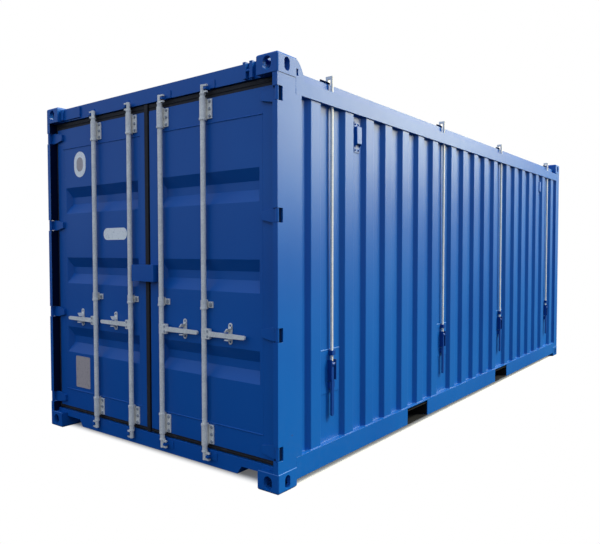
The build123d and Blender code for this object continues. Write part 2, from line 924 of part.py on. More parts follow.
# Door panels: a flush sheet with three wide pressed recesses
panel_in_x = leaf_in_x + stile_w
panel_out_x = leaf_out_x - stile_w
panel_bottom = leaf_bottom + foot_rail_h
panel_top = leaf_top - head_rail_h
press_mid_z = (panel_bottom + panel_top) / 2 - press_drop
press_mid_x = (panel_in_x + panel_out_x) / 2
press_l = panel_out_x - panel_in_x - 2 * press_margin
with BuildPart() as door_panel:
    block(
        (panel_in_x, panel_out_x),
        (-door_face_y, -door_face_y + door_sheet),
        (panel_bottom, panel_top),
    )
    for count in (-1, 0, 1):
        row = press_mid_z + count * press_pitch
        for grow, mode in ((door_sheet, Mode.ADD), (0, Mode.SUBTRACT)):
            with BuildSketch(Plane.XZ.offset(door_face_y)):
                with Locations((press_mid_x, row)):
                    Rectangle(press_l + 2 * grow, press_h + 2 * grow)
            with BuildSketch(Plane.XZ.offset(door_face_y - press_depth - grow)):
                with Locations((press_mid_x, row)):
                    Rectangle(press_l - 2 * press_end_run + 2 * grow, press_floor + 2 * grow)
            loft(ruled=True, mode=mode)

save(door_panel.part, "door_panel_right")
save(mirrored(door_panel.part), "door_panel_left")

# Door gaskets: a rubber ring round the edge of each leaf, and a flap on the left leaf beside their joint
with BuildPart() as gasket:
    with BuildSketch(Plane.XZ.offset(door_face_y - gasket_set_back)):
        ring_in = leaf_in_x - gasket_centre_lip
        ring_out = leaf_out_x + gasket_side_lip
        ring_bottom = leaf_bottom - gasket_foot_lip
        ring_top = leaf_top + gasket_top_lip
        with Locations(((ring_in + ring_out) / 2, (ring_bottom + ring_top) / 2)):
            Rectangle(ring_out - ring_in, ring_top - ring_bottom)
        with Locations(((leaf_in_x + leaf_out_x) / 2, (leaf_bottom + leaf_top) / 2)):
            Rectangle(leaf_out_x - leaf_in_x, leaf_top - leaf_bottom, mode=Mode.SUBTRACT)
    extrude(amount=-gasket_t)

save(gasket.part, "door_gasket_right")

with BuildPart() as left_gasket:
    mirror(gasket.part, about=Plane.YZ)
    block(
        (-ring_in - gasket_flap_w, -ring_in),
        (-door_face_y - gasket_flap_t, -door_face_y),
        (ring_bottom, ring_top),
    )
    block(
        (-leaf_in_x, -ring_in),
        (-door_face_y, -door_face_y + gasket_set_back),
        (ring_bottom, ring_top),
    )

save(left_gasket.part, "door_gasket_left")


def bar_brackets(rows):
    """Return the sleeves and guides that hold the lock bars of one door."""
    spans = [
        (foot_bracket_z, bracket_h, foot_bracket_z + bracket_h - bracket_ring_h),
        (guide_z, guide_h, guide_z),
        (top_bracket_z, bracket_h, top_bracket_z),
    ]
    with BuildPart() as sleeves:
        for row in rows:
            for foot, tall, ring in spans:
                with BuildSketch(Plane.XY.offset(foot)):
                    with Locations((row, -bar_y)):
                        Circle(bracket_r)
                    with Locations((row, -(bar_y + door_face_y) / 2)):
                        Rectangle(bracket_web_w, bar_y - door_face_y)
                extrude(amount=tall)
                with BuildSketch(Plane.XY.offset(ring)):
                    with Locations((row, -bar_y)):
                        Circle(bracket_ring_r)
                extrude(amount=bracket_ring_h)
                block(
                    (row - bracket_web_w / 2, row + bracket_flange_w),
                    (-door_face_y - bracket_flange_t, -door_face_y),
                    (foot + bracket_flange_short, foot + tall - bracket_flange_short),
                )
                with BuildSketch(Plane.XY.offset(foot)):
                    with Locations((row, -bar_y)):
                        Circle(bar_r + bar_fit)
                extrude(amount=tall, mode=Mode.SUBTRACT)
    return sleeves.part


def lock_bar(row, side):
    """Return one lock bar with its forked cams, which point the way its handle does."""
    with BuildPart() as bar:
        with BuildSketch(Plane.XY.offset(bar_bottom + cam_h)):
            with Locations((row, -bar_y)):
                Circle(bar_r)
        extrude(amount=bar_top - bar_bottom - 2 * cam_h)
        for foot, ring in ((bar_bottom, bar_bottom + cam_h), (bar_top - cam_h, bar_top - cam_h - cam_ring_h)):
            with BuildSketch(Plane.XY.offset(foot)):
                with Locations((row, -bar_y)):
                    Circle(cam_core_r)
            extrude(amount=cam_h)
            with BuildSketch(Plane.XY.offset(ring)):
                with Locations((row, -bar_y)):
                    Circle(cam_ring_r)
            extrude(amount=cam_ring_h)
            prong = sorted((row, row + side * cam_reach))
            prong_y = (-bar_y - cam_prong_w / 2, -bar_y + cam_prong_w / 2)
            block(prong, prong_y, (foot, foot + cam_prong_t))
            block(prong, prong_y, (foot + cam_h - cam_prong_t, foot + cam_h))
    return bar.part


def bar_handle(row, side):
    """Return one bar handle, with the hub that clamps the bar."""
    tip = row + side * (handle_l - handle_tip_h / 2)
    hub_x = sorted((row, row + side * hub_w))
    hub_z = (handle_z - hub_h / 2, handle_z + hub_h / 2)
    with BuildPart() as handle:
        with BuildSketch(Plane.XY.offset(hub_z[0])):
            with Locations((row, -bar_y)):
                Circle(hub_r)
        extrude(amount=hub_h)
        block(hub_x, (-bar_y - hub_face, -bar_y + hub_back), hub_z)
        with BuildSketch(Plane.XZ.offset(bar_y - handle_t / 2)):
            with BuildLine():
                Polyline(
                    (row, handle_z - handle_root_h / 2),
                    (tip, handle_z - handle_tip_h / 2),
                    (tip, handle_z + handle_tip_h / 2),
                    (row, handle_z + handle_root_h / 2),
                    close=True,
                )
            make_face()
            with Locations((tip, handle_z)):
                Circle(handle_tip_h / 2)
        extrude(amount=handle_t)
        with BuildSketch(Plane.XY.offset(hub_z[0])):
            with Locations((row, -bar_y)):
                Circle(bar_r)
        extrude(amount=hub_h, mode=Mode.SUBTRACT)
    return handle.part


def handle_catches(rows, side):
    """Return the plates that hold the handles of one door, each with a cradle and a hasp."""
    with BuildPart() as catches:
        for row in rows:
            middle = row + side * catch_offset
            plate_mid = handle_z + catch_drop
            eye_rise = (catch_h - catch_w) / 2
            with BuildSketch(Plane.XZ.offset(door_face_y)):
                with Locations((middle, plate_mid)):
                    SlotOverall(catch_h, catch_w, rotation=90)
                with Locations((middle, plate_mid - eye_rise), (middle, plate_mid + eye_rise)):
                    Circle(catch_eye_r, mode=Mode.SUBTRACT)
            extrude(amount=catch_t)
            catch_x = (middle - catch_w / 2, middle + catch_w / 2)
            cradle_top = handle_z - handle_root_h / 2 - cradle_gap
            cradle_y = (-door_face_y - catch_t - cradle_depth, -door_face_y - catch_t)
            block(catch_x, cradle_y, (cradle_top - cradle_t, cradle_top))
            hasp_bottom = handle_z + handle_root_h / 2 + cradle_gap
            hasp_top = plate_mid + eye_rise - catch_w / 2
            with BuildSketch(Plane.XZ.offset(door_face_y + catch_t)):
                with BuildLine():
                    Polyline(
                        (middle - side * (hasp_lean + hasp_w / 2), hasp_bottom),
                        (middle - side * (hasp_lean - hasp_w / 2), hasp_bottom),
                        (middle + side * hasp_w, hasp_top),
                        (middle, hasp_top),
                        close=True,
                    )
                make_face()
            extrude(amount=cradle_depth)
    return catches.part


doors = {"left": (bar_rows[:2], -1), "right": (bar_rows[2:], 1)}
for door, (rows, side) in doors.items():
    save(bar_brackets(rows), f"bar_brackets_{door}")
    save(handle_catches(rows, side), f"handle_catches_{door}")
    for place, row in zip(("outer", "inner")[::-side], rows):
        save(lock_bar(row, side), f"lock_bar_{door}_{place}")
        save(bar_handle(row, side), f"bar_handle_{door}_{place}")

# Cam keepers: a foot on the header or sill with a tongue between the prongs of each cam
keeper_start = cam_core_r + keeper_gap
with BuildPart() as keepers:
    for rows, side in doors.values():
        for row in rows:
            for foot, seat in ((bar_bottom, bar_bottom), (bar_top - cam_h, header_bottom)):
                foot_x = sorted((row + side * keeper_start, row + side * (keeper_start + keeper_foot_w)))
                block(foot_x, (-end_face_y - keeper_foot_t, -end_face_y), (seat, seat + cam_h))
                tongue_end = keeper_start + keeper_tongue_l
                tongue_x = sorted((row + side * keeper_start, row + side * tongue_end))
                tongue_z = (foot + cam_prong_t + keeper_gap, foot + cam_h - cam_prong_t - keeper_gap)
                block(tongue_x, (-end_face_y - keeper_reach, -end_face_y), tongue_z)

save(keepers.part, "cam_keepers")

# Lock box: an open-bottomed cover on the right door that reaches over the left one
with BuildPart() as lock_box:
    box_back = -door_face_y - lock_box_clear
    block((lock_box_left, lock_box_right), (-lock_box_front, box_back), (lock_box_bottom, lock_box_top))
    block(
        (lock_box_left + lock_box_wall, lock_box_right - lock_box_wall),
        (-lock_box_front + lock_box_wall, box_back - lock_box_wall),
        (lock_box_bottom, lock_box_top - lock_box_wall),
        Mode.SUBTRACT,
    )
    block((leaf_in_x, lock_box_right), (box_back, -door_face_y), (lock_box_bottom, lock_box_top))

save(lock_box.part, "lock_box")
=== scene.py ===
"""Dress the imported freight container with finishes, rolled sheets, fasteners, welds and plates."""

from __future__ import annotations

import json
import logging
import math
from dataclasses import dataclass
from enum import Enum
from typing import Iterable, Mapping, Sequence

import bmesh
import bpy
from mathutils import Matrix, Vector

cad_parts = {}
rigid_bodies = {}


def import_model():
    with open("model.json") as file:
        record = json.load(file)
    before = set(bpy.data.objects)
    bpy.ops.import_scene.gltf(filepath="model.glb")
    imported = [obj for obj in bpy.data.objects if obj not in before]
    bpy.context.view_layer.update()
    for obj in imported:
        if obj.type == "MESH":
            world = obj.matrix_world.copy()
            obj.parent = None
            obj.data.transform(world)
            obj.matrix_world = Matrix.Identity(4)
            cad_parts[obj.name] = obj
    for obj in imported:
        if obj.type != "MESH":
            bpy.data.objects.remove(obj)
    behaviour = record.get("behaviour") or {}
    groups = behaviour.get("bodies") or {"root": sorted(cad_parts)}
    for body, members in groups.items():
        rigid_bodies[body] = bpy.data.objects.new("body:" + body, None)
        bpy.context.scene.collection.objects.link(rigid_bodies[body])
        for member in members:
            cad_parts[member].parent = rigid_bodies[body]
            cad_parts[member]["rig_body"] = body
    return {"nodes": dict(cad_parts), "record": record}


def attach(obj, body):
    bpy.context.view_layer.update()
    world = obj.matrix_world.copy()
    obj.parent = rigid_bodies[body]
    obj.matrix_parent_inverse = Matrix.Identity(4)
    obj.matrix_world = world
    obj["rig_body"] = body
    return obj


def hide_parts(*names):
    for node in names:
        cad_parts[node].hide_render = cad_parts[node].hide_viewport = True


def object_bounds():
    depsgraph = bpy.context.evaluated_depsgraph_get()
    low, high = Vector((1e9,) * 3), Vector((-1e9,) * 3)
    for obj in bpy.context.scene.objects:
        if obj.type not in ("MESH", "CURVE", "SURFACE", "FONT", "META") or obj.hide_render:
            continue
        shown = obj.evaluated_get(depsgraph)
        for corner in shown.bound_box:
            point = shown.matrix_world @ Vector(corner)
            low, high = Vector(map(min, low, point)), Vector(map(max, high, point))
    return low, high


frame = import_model()
CAD_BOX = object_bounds()

LOG = logging.getLogger("container")
MM = 0.001
SAME_PLACE = 0.01 * MM
SIDES = ("left", "right")
UNDER_NODES = ("crossmembers", "fork_pockets")
TOP_NODES = ("hard_top_roof", "door_header", "front_header", "top_side_rail")
GEAR_NODES = ("roof_lock_lever", "hinge_pins")
PRESSED_CORNER_DEG = 15.0
OUT_OF_DOOR = Vector((0, -1, 0))

Colour = tuple[float, float, float, float]
Box = tuple[Vector, Vector]

WHITE: Colour = (1.0, 1.0, 1.0, 1.0)


class Slot(Enum):
    """The record's material slots."""

    PAINT = "blue_paint"
    GALVANISED = "galvanised_steel"
    RUBBER = "gasket_rubber"
    BOARDS = "floor_boards"


def tint(red: int, green: int, blue: int) -> Colour:
    """Return the linear colour of a paint chip that is given in display values.

    Args:
        red: Display value from 0 to 255.
        green: Display value from 0 to 255.
        blue: Display value from 0 to 255.

    Returns:
        The linear colour with full alpha.
    """

    def linear(value: int) -> float:
        """Return the linear share of one display value."""
        share = value / 255
        return share / 12.92 if share <= 0.04045 else ((share + 0.055) / 1.055) ** 2.4

    return linear(red), linear(green), linear(blue), 1.0


class Wire:
    """A node socket that takes part in Python arithmetic."""

    def __init__(self, bench: Bench, socket: bpy.types.NodeSocket) -> None:
        """Keep the bench that adds nodes and the socket that gives the value."""
        self.bench = bench
        self.socket = socket

    def also(self, output: int | str) -> Wire:
        """Return another output of the node that this wire leaves."""
        return Wire(self.bench, self.socket.node.outputs[output])

    def math(self, operation: str, *values: Wire | float) -> Wire:
        """Return the result of a Math node on the given values."""
        return self.bench.node("ShaderNodeMath", {"operation": operation}, dict(enumerate(values)))

    def __add__(self, other: Wire | float) -> Wire:
        """Return this value plus another."""
        return self.math("ADD", self, other)

    def __radd__(self, other: float) -> Wire:
        """Return a number plus this value."""
        return self.math("ADD", other, self)

    def __sub__(self, other: Wire | float) -> Wire:
        """Return this value less another."""
        return self.math("SUBTRACT", self, other)

    def __rsub__(self, other: float) -> Wire:
        """Return a number less this value."""
        return self.math("SUBTRACT", other, self)

    def __mul__(self, other: Wire | float) -> Wire:
        """Return this value times another."""
        return self.math("MULTIPLY", self, other)

    def __rmul__(self, other: float) -> Wire:
        """Return a number times this value."""
        return self.math("MULTIPLY", other, self)

    def __abs__(self) -> Wire:
        """Return the size of this value without its sign."""
        return self.math("ABSOLUTE", self)


class Bench:
    """A node tree and the one method that adds any node to it."""

    def __init__(self, tree: bpy.types.NodeTree) -> None:
        """Keep the tree and clear it."""
        self.tree = tree
        self.tree.nodes.clear()

    def node(
        self,
        kind: str,
        settings: Mapping[str, object] | None = None,
        inputs: Mapping[int | str, object] | None = None,
        output: int | str = 0,
    ) -> Wire:
        """Add a node, with its settings first and then its sockets.

        Args:
            kind: The node's type.
            settings: Its properties by name.
            inputs: Values or wires by socket name or place.
            output: The output that the returned wire leaves.

        Returns:
            The wire from the chosen output.
        """
        made = self.tree.nodes.new(kind)
        for name, value in (settings or {}).items():
            setattr(made, name, value)
        for key, value in (inputs or {}).items():
            if isinstance(value, Wire):
                self.tree.links.new(value.socket, made.inputs[key])
            else:
                made.inputs[key].default_value = value
        return Wire(self, made.outputs[output]) if made.outputs else Wire(self, None)

    def mix(self, share: Wire | float, first: Wire | Colour, second: Wire | Colour) -> Wire:
        """Return a blend of two colours."""
        return self.node("ShaderNodeMix", {"data_type": "RGBA"}, {0: share, 6: first, 7: second}, 2)


class PaintBench(Bench):
    """The shader tree of one material."""

    def __init__(self, name: str) -> None:
        """Make an empty material and its coordinate wires."""
        self.material = bpy.data.materials.new(name)
        self.material.use_nodes = True
        super().__init__(self.material.node_tree)
        self.place = self.node("ShaderNodeTexCoord", output="Object")
        self.x = self.node("ShaderNodeSeparateXYZ", inputs={0: self.place})
        self.y = self.x.also("Y")
        self.z = self.x.also("Z")

    def stretched(self, x: float, y: float, z: float) -> Wire:
        """Return the place with each axis scaled by its own number."""
        return self.node("ShaderNodeVectorMath", {"operation": "MULTIPLY"}, {0: self.place, 1: (x, y, z)})

    def noise(self, scale: float, detail: float = 3, rough: float = 0.5, place: Wire | None = None) -> Wire:
        """Return a soft noise from 0 to 1.

        Args:
            scale: Cells in a metre.
            detail: Octaves of finer noise.
            rough: Weight of the finer octaves.
            place: Coordinates, or the piece's own place.

        Returns:
            The noise value.
        """
        inputs = {"Vector": place or self.place, "Scale": scale, "Detail": detail, "Roughness": rough}
        return self.node("ShaderNodeTexNoise", inputs=inputs)

    def step(self, value: Wire, low: float, high: float) -> Wire:
        """Return a smooth step from 0 at low to 1 at high."""
        settings = {"interpolation_type": "SMOOTHSTEP"}
        return self.node("ShaderNodeMapRange", settings, {"Value": value, "From Min": low, "From Max": high})

    def bump(self, height: Wire, depth: float, strength: float = 1.0, normal: Wire | None = None) -> Wire:
        """Return a normal that is raised by a height.

        Args:
            height: The height from 0 to 1.
            depth: Metres between low and high.
            strength: Share of the bump.
            normal: An earlier bump to add to.

        Returns:
            The bumped normal.
        """
        inputs: dict[int | str, object] = {"Height": height, "Distance": depth, "Strength": strength}
        if normal is not None:
            inputs["Normal"] = normal
        return self.node("ShaderNodeBump", inputs=inputs)

    def surface(self, **sockets: object) -> bpy.types.Material:
        """Close the tree with a surface shader.

        Args:
            **sockets: Values or wires by the shader's socket names, with _ for a space.

        Returns:
            The finished material.
        """
        inputs = {name.replace("_", " "): value for name, value in sockets.items()}
        shader = self.node("ShaderNodeBsdfPrincipled", inputs=inputs)
        self.node("ShaderNodeOutputMaterial", inputs={"Surface": shader})
        return self.material


class TreeBench(Bench):
    """A Geometry Nodes tree with named sizes, which grows plain meshes."""

    def __init__(self, name: str, sizes: Mapping[str, float | Vector]) -> None:
        """Make the tree and give it one named input for each size.

        Args:
            name: The tree's name.
            sizes: Numbers and vectors by the names of their inputs.
        """
        super().__init__(bpy.data.node_groups.new(name, "GeometryNodeTree"))
        self.sizes = dict(sizes)
        sockets = self.tree.interface
        for way in ("INPUT", "OUTPUT"):
            sockets.new_socket("Geometry", in_out=way, socket_type="NodeSocketGeometry")
        for label, value in self.sizes.items():
            kind = "NodeSocketVector" if isinstance(value, Vector) else "NodeSocketFloat"
            sockets.new_socket(label, in_out="INPUT", socket_type=kind)
        self.start = self.node("NodeGroupInput", output="Geometry")

    def size(self, label: str) -> Wire:
        """Return the wire of a named size."""
        return self.start.also(label)

    def attribute(self, name: str) -> Wire:
        """Return a vector attribute of the seed's points."""
        return self.node("GeometryNodeInputNamedAttribute", {"data_type": "FLOAT_VECTOR"}, {"Name": name})

    def random(self, low: Wire | float, high: Wire | float, seed: int) -> Wire:
        """Return a number between two bounds, drawn anew for each point."""
        return self.node("FunctionNodeRandomValue", {"data_type": "FLOAT"}, {2: low, 3: high, 8: seed}, 1)

    def vector(self, x: Wire | float, y: Wire | float, z: Wire | float) -> Wire:
        """Return a vector from three values."""
        return self.node("ShaderNodeCombineXYZ", inputs={0: x, 1: y, 2: z})

    def disc(self, sides: int, radius: Wire, height: Wire, foot: Wire | float = 0.0) -> Wire:
        """Return an upright disc.

        Args:
            sides: How many sides its rim has.
            radius: Its radius.
            height: Its height.
            foot: The level that it stands on.

        Returns:
            The disc's geometry.
        """
        sizes = {"Vertices": sides, "Radius": radius, "Depth": height}
        disc = self.node("GeometryNodeMeshCylinder", inputs=sizes)
        rise = self.vector(0.0, 0.0, height * 0.5 + foot)
        return self.node("GeometryNodeTransform", inputs={"Geometry": disc, "Translation": rise})

    def joined(self, *parts: Wire) -> Wire:
        """Return several geometries as one."""
        whole = self.tree.nodes.new("GeometryNodeJoinGeometry")
        for part in reversed(parts):
            self.tree.links.new(part.socket, whole.inputs[0])
        return Wire(self, whole.outputs[0])

    def close(self, geometry: Wire, material: bpy.types.Material) -> None:
        """End the tree in plain geometry with one material."""
        whole = self.node("GeometryNodeRealizeInstances", inputs={"Geometry": geometry})
        coated = self.node("GeometryNodeSetMaterial", inputs={"Geometry": whole, "Material": material})
        self.node("NodeGroupOutput", inputs={"Geometry": coated})

    def grow(self, name: str, seed: bpy.types.Mesh) -> bpy.types.Mesh:
        """Run the tree on a seed mesh.

        Args:
            name: The name of the new mesh.
            seed: Points or edges that the tree starts from.

        Returns:
            The grown mesh, with no modifier left.
        """
        carrier = bpy.data.objects.new(f"{name}_seed", seed)
        bpy.context.scene.collection.objects.link(carrier)
        modifier = carrier.modifiers.new(name, "NODES")
        modifier.node_group = self.tree
        for socket in self.tree.interface.items_tree:
            if socket.in_out == "INPUT" and socket.name in self.sizes:
                modifier[socket.identifier] = self.sizes[socket.name]
        view = bpy.context.evaluated_depsgraph_get()
        mesh = bpy.data.meshes.new_from_object(carrier.evaluated_get(view))
        mesh.name = name
        carrier.modifiers.remove(modifier)
        bpy.data.objects.remove(carrier)
        bpy.data.meshes.remove(seed)
        return mesh


def seed_paths(name: str, paths: Iterable[Sequence[Vector]]) -> bpy.types.Mesh:
    """Return a mesh of open paths.

    Args:
        name: The mesh's name.
        paths: The points of each path in order.

    Returns:
        A mesh with an edge between each two neighbours.
    """
    points: list[Vector] = []
    edges: list[tuple[int, int]] = []
    for path in paths:
        first = len(points)
        points.extend(path)
        edges.extend((place, place + 1) for place in range(first, len(points) - 1))
    mesh = bpy.data.meshes.new(name)
    mesh.from_pydata(points, edges, [])
    return mesh


def seed_points(name: str, points: Sequence[tuple[Vector, Vector]]) -> bpy.types.Mesh:
    """Return a mesh of loose points that each carry the way they face.

    Args:
        name: The mesh's name.
        points: Pairs of place and outward direction.

    Returns:
        A mesh with a vector attribute called facing.
    """
    mesh = bpy.data.meshes.new(name)
    mesh.from_pydata([place for place, _ in points], [], [])
    facing = mesh.attributes.new("facing", "FLOAT_VECTOR", "POINT")
    for item, (_, way) in zip(facing.data, points):
        item.vector = way
    return mesh


def grow_blocks(
    name: str, size: Vector, middles: Iterable[Vector], material: bpy.types.Material
) -> bpy.types.Mesh:
    """Return equal square-edged blocks as one mesh.

    Args:
        name: The mesh's name.
        size: The size of one block.
        middles: The middle of each block.
        material: The finish of all of them.

    Returns:
        The mesh of all blocks.
    """
    tree = TreeBench(name, {"Block": size})
    block = tree.node("GeometryNodeMeshCube", inputs={"Size": tree.size("Block")})
    blocks = tree.node("GeometryNodeInstanceOnPoints", inputs={"Points": tree.start, "Instance": block})
    tree.close(blocks, material)
    return tree.grow(name, seed_paths(name, [[middle] for middle in middles]))


@dataclass(frozen=True)
class ContainerPaint:
    """Satin blue paint over steel, with dust, faint streaks and a few chips."""

    name: str = "container_blue"
    base: Colour = tint(10, 82, 159)
    faded: Colour = tint(14, 89, 165)
    dust: Colour = tint(128, 138, 148)
    chip: Colour = tint(70, 44, 34)
    roughness: float = 0.33
    specular: float = 0.27
    streak_dust: float = 0.01
    foot_dust: float = 0.012
    dust_dulls: float = 6.0
    chip_share: float = 0.6
    chip_dulls: float = 0.3
    speck_dulls: float = 0.05

    def material(self) -> bpy.types.Material:
        """Return the paint as a material."""
        bench = PaintBench(self.name)
        clouds = bench.noise(scale=0.9, detail=4, rough=0.55)
        streaks = bench.noise(scale=1.0, detail=5, rough=0.6, place=bench.stretched(9.0, 9.0, 0.4))
        specks = bench.noise(scale=34.0, detail=4, rough=0.6)
        foot = 1.0 - bench.step(bench.z, low=0.05, high=0.75)
        streak_mask = bench.step(streaks, low=0.52, high=0.8) * self.streak_dust
        dust_mask = streak_mask + foot * bench.step(specks, low=0.4, high=0.75) * self.foot_dust
        chip_mask = bench.step(specks * clouds, low=0.5, high=0.52) * self.chip_share
        colour = bench.mix(bench.step(clouds, low=0.3, high=0.7), self.base, self.faded)
        colour = bench.mix(dust_mask, colour, self.dust)
        colour = bench.mix(chip_mask, colour, self.chip)
        waves = bench.bump(bench.noise(scale=2.4, detail=2), depth=6 * MM, strength=0.25)
        peel = bench.bump(bench.noise(scale=420.0, detail=2), depth=0.4 * MM, strength=0.12, normal=waves)
        worn = self.roughness + dust_mask * self.dust_dulls + chip_mask * self.chip_dulls
        return bench.surface(
            Base_Color=colour,
            Roughness=worn + specks * self.speck_dulls,
            Specular_IOR_Level=self.specular,
            Normal=peel,
        )


@dataclass(frozen=True)
class Galvanised:
    """Hot-dip zinc with a faint spangle and dull patches."""

    name: str = "galvanised_steel"
    bright: Colour = tint(246, 240, 226)
    dull: Colour = tint(222, 217, 207)
    spangle_cells: float = 130.0
    spangle_share: float = 0.3
    roughness: float = 0.5
    bright_sheen: float = 0.14
    metallic: float = 0.08

    def material(self) -> bpy.types.Material:
        """Return the zinc as a material."""
        bench = PaintBench(self.name)
        cells = {"Vector": bench.place, "Scale": self.spangle_cells}
        spangle = bench.node("ShaderNodeTexVoronoi", inputs=cells, output="Color")
        patches = bench.noise(scale=14.0, detail=5, rough=0.6)
        grey = bench.node("ShaderNodeRGBToBW", inputs={0: spangle})
        blend = patches * (1.0 - self.spangle_share) + grey * self.spangle_share
        share = bench.step(blend, low=0.3, high=0.7)
        return bench.surface(
            Base_Color=bench.mix(share, self.dull, self.bright),
            Roughness=self.roughness - share * self.bright_sheen,
            Metallic=self.metallic,
            Normal=bench.bump(bench.noise(scale=240.0, detail=3), depth=0.5 * MM, strength=0.12),
        )


@dataclass(frozen=True)
class GasketRubber:
    """Black extruded rubber with pale dust."""

    name: str = "gasket_rubber"
    base: Colour = tint(30, 26, 27)
    dust: Colour = tint(74, 66, 62)
    dust_share: float = 0.6
    roughness: float = 0.6
    patch_dulls: float = 0.2

    def material(self) -> bpy.types.Material:
        """Return the rubber as a material."""
        bench = PaintBench(self.name)
        patches = bench.noise(scale=18.0, detail=5, rough=0.6)
        dust_mask = bench.step(patches, low=0.5, high=0.8) * self.dust_share
        return bench.surface(
            Base_Color=bench.mix(dust_mask, self.base, self.dust),
            Roughness=self.roughness + patches * self.patch_dulls,
            Normal=bench.bump(bench.noise(scale=300.0, detail=2), depth=0.6 * MM, strength=0.3),
        )


@dataclass(frozen=True)
class Plywood:
    """Oiled floor plywood with a long grain."""

    name: str = "floor_plywood"
    pale: Colour = tint(150, 112, 78)
    dark: Colour = tint(96, 64, 42)
    grain_share: float = 0.75
    roughness: float = 0.5
    grain_dulls: float = 0.25

    def material(self) -> bpy.types.Material:
        """Return the plywood as a material."""
        bench = PaintBench(self.name)
        grain = bench.noise(scale=1.0, detail=6, rough=0.65, place=bench.stretched(60.0, 2.4, 60.0))
        patches = bench.noise(scale=1.3, detail=3)
        blend = grain * self.grain_share + patches * (1.0 - self.grain_share)
        share = bench.step(blend, low=0.35, high=0.68)
        return bench.surface(
            Base_Color=bench.mix(share, self.dark, self.pale),
            Roughness=self.roughness + grain * self.grain_dulls,
            Normal=bench.bump(grain, depth=1.2 * MM, strength=0.5),
        )


@dataclass(frozen=True)
class PlateEnamel:
    """An enamelled plate with fine scuffs."""

    name: str
    base: Colour
    worn: Colour
    roughness: float = 0.4
    scuff_dulls: float = 0.25

    def material(self) -> bpy.types.Material:
        """Return the enamel as a material."""
        bench = PaintBench(self.name)
        scuffs = bench.noise(scale=60.0, detail=5, rough=0.65)
        scuff_mask = bench.step(scuffs, low=0.5, high=0.78)
        return bench.surface(
            Base_Color=bench.mix(scuff_mask, self.base, self.worn),
            Roughness=self.roughness + scuff_mask * self.scuff_dulls,
            Normal=bench.bump(scuffs, depth=0.4 * MM, strength=0.25),
        )


class Palette:
    """Every material of the container, each made once."""

    def __init__(self) -> None:
        """Make the materials."""
        self.paint = ContainerPaint().material()
        self.zinc = Galvanised().material()
        self.rubber = GasketRubber().material()
        self.boards = Plywood().material()
        self.gear = ContainerPaint(
            "lock_gear_blue", base=tint(8, 52, 122), faded=tint(12, 60, 132)
        ).material()
        # Near-black blue that paints shade: the dark groove by the rear posts, the hinge slots behind the
        # knuckles and the shade under the roof hooks.
        self.painted_shade = ContainerPaint(
            "painted_shade_blue", base=tint(5, 18, 46), faded=tint(8, 22, 52), roughness=0.85, specular=0.0
        ).material()
        self.underbody = ContainerPaint(
            "underbody_coat", base=tint(22, 22, 24), faded=tint(32, 32, 33), roughness=0.75, specular=0.05
        ).material()
        self.roof = ContainerPaint("weathered_roof_blue", roughness=0.66, specular=0.06).material()
        # Lighter blue for the welds at the castings and the roof-lock plates, a painted highlight on the
        # weld beads.
        self.painted_highlight = ContainerPaint(
            "highlight_seam_blue", base=tint(62, 114, 182), faded=tint(78, 126, 190)
        ).material()
        # Darker zinc for the bolts, painted shade that stands for the shading round the bolt heads.
        self.shaded_bolt_zinc = Galvanised(
            "shaded_bolt_zinc", bright=tint(176, 178, 180), dull=tint(150, 152, 156)
        ).material()
        self.white = PlateEnamel("white_enamel", tint(255, 252, 242), tint(214, 212, 206)).material()
        self.grey = PlateEnamel("grey_enamel", tint(188, 172, 164), tint(146, 134, 130)).material()

    def of_slot(self, slot: Slot) -> bpy.types.Material:
        """Return the plain finish of one of the record's slots."""
        plain = {
            Slot.PAINT: self.paint,
            Slot.GALVANISED: self.zinc,
            Slot.RUBBER: self.rubber,
            Slot.BOARDS: self.boards,
        }
        return plain[slot]


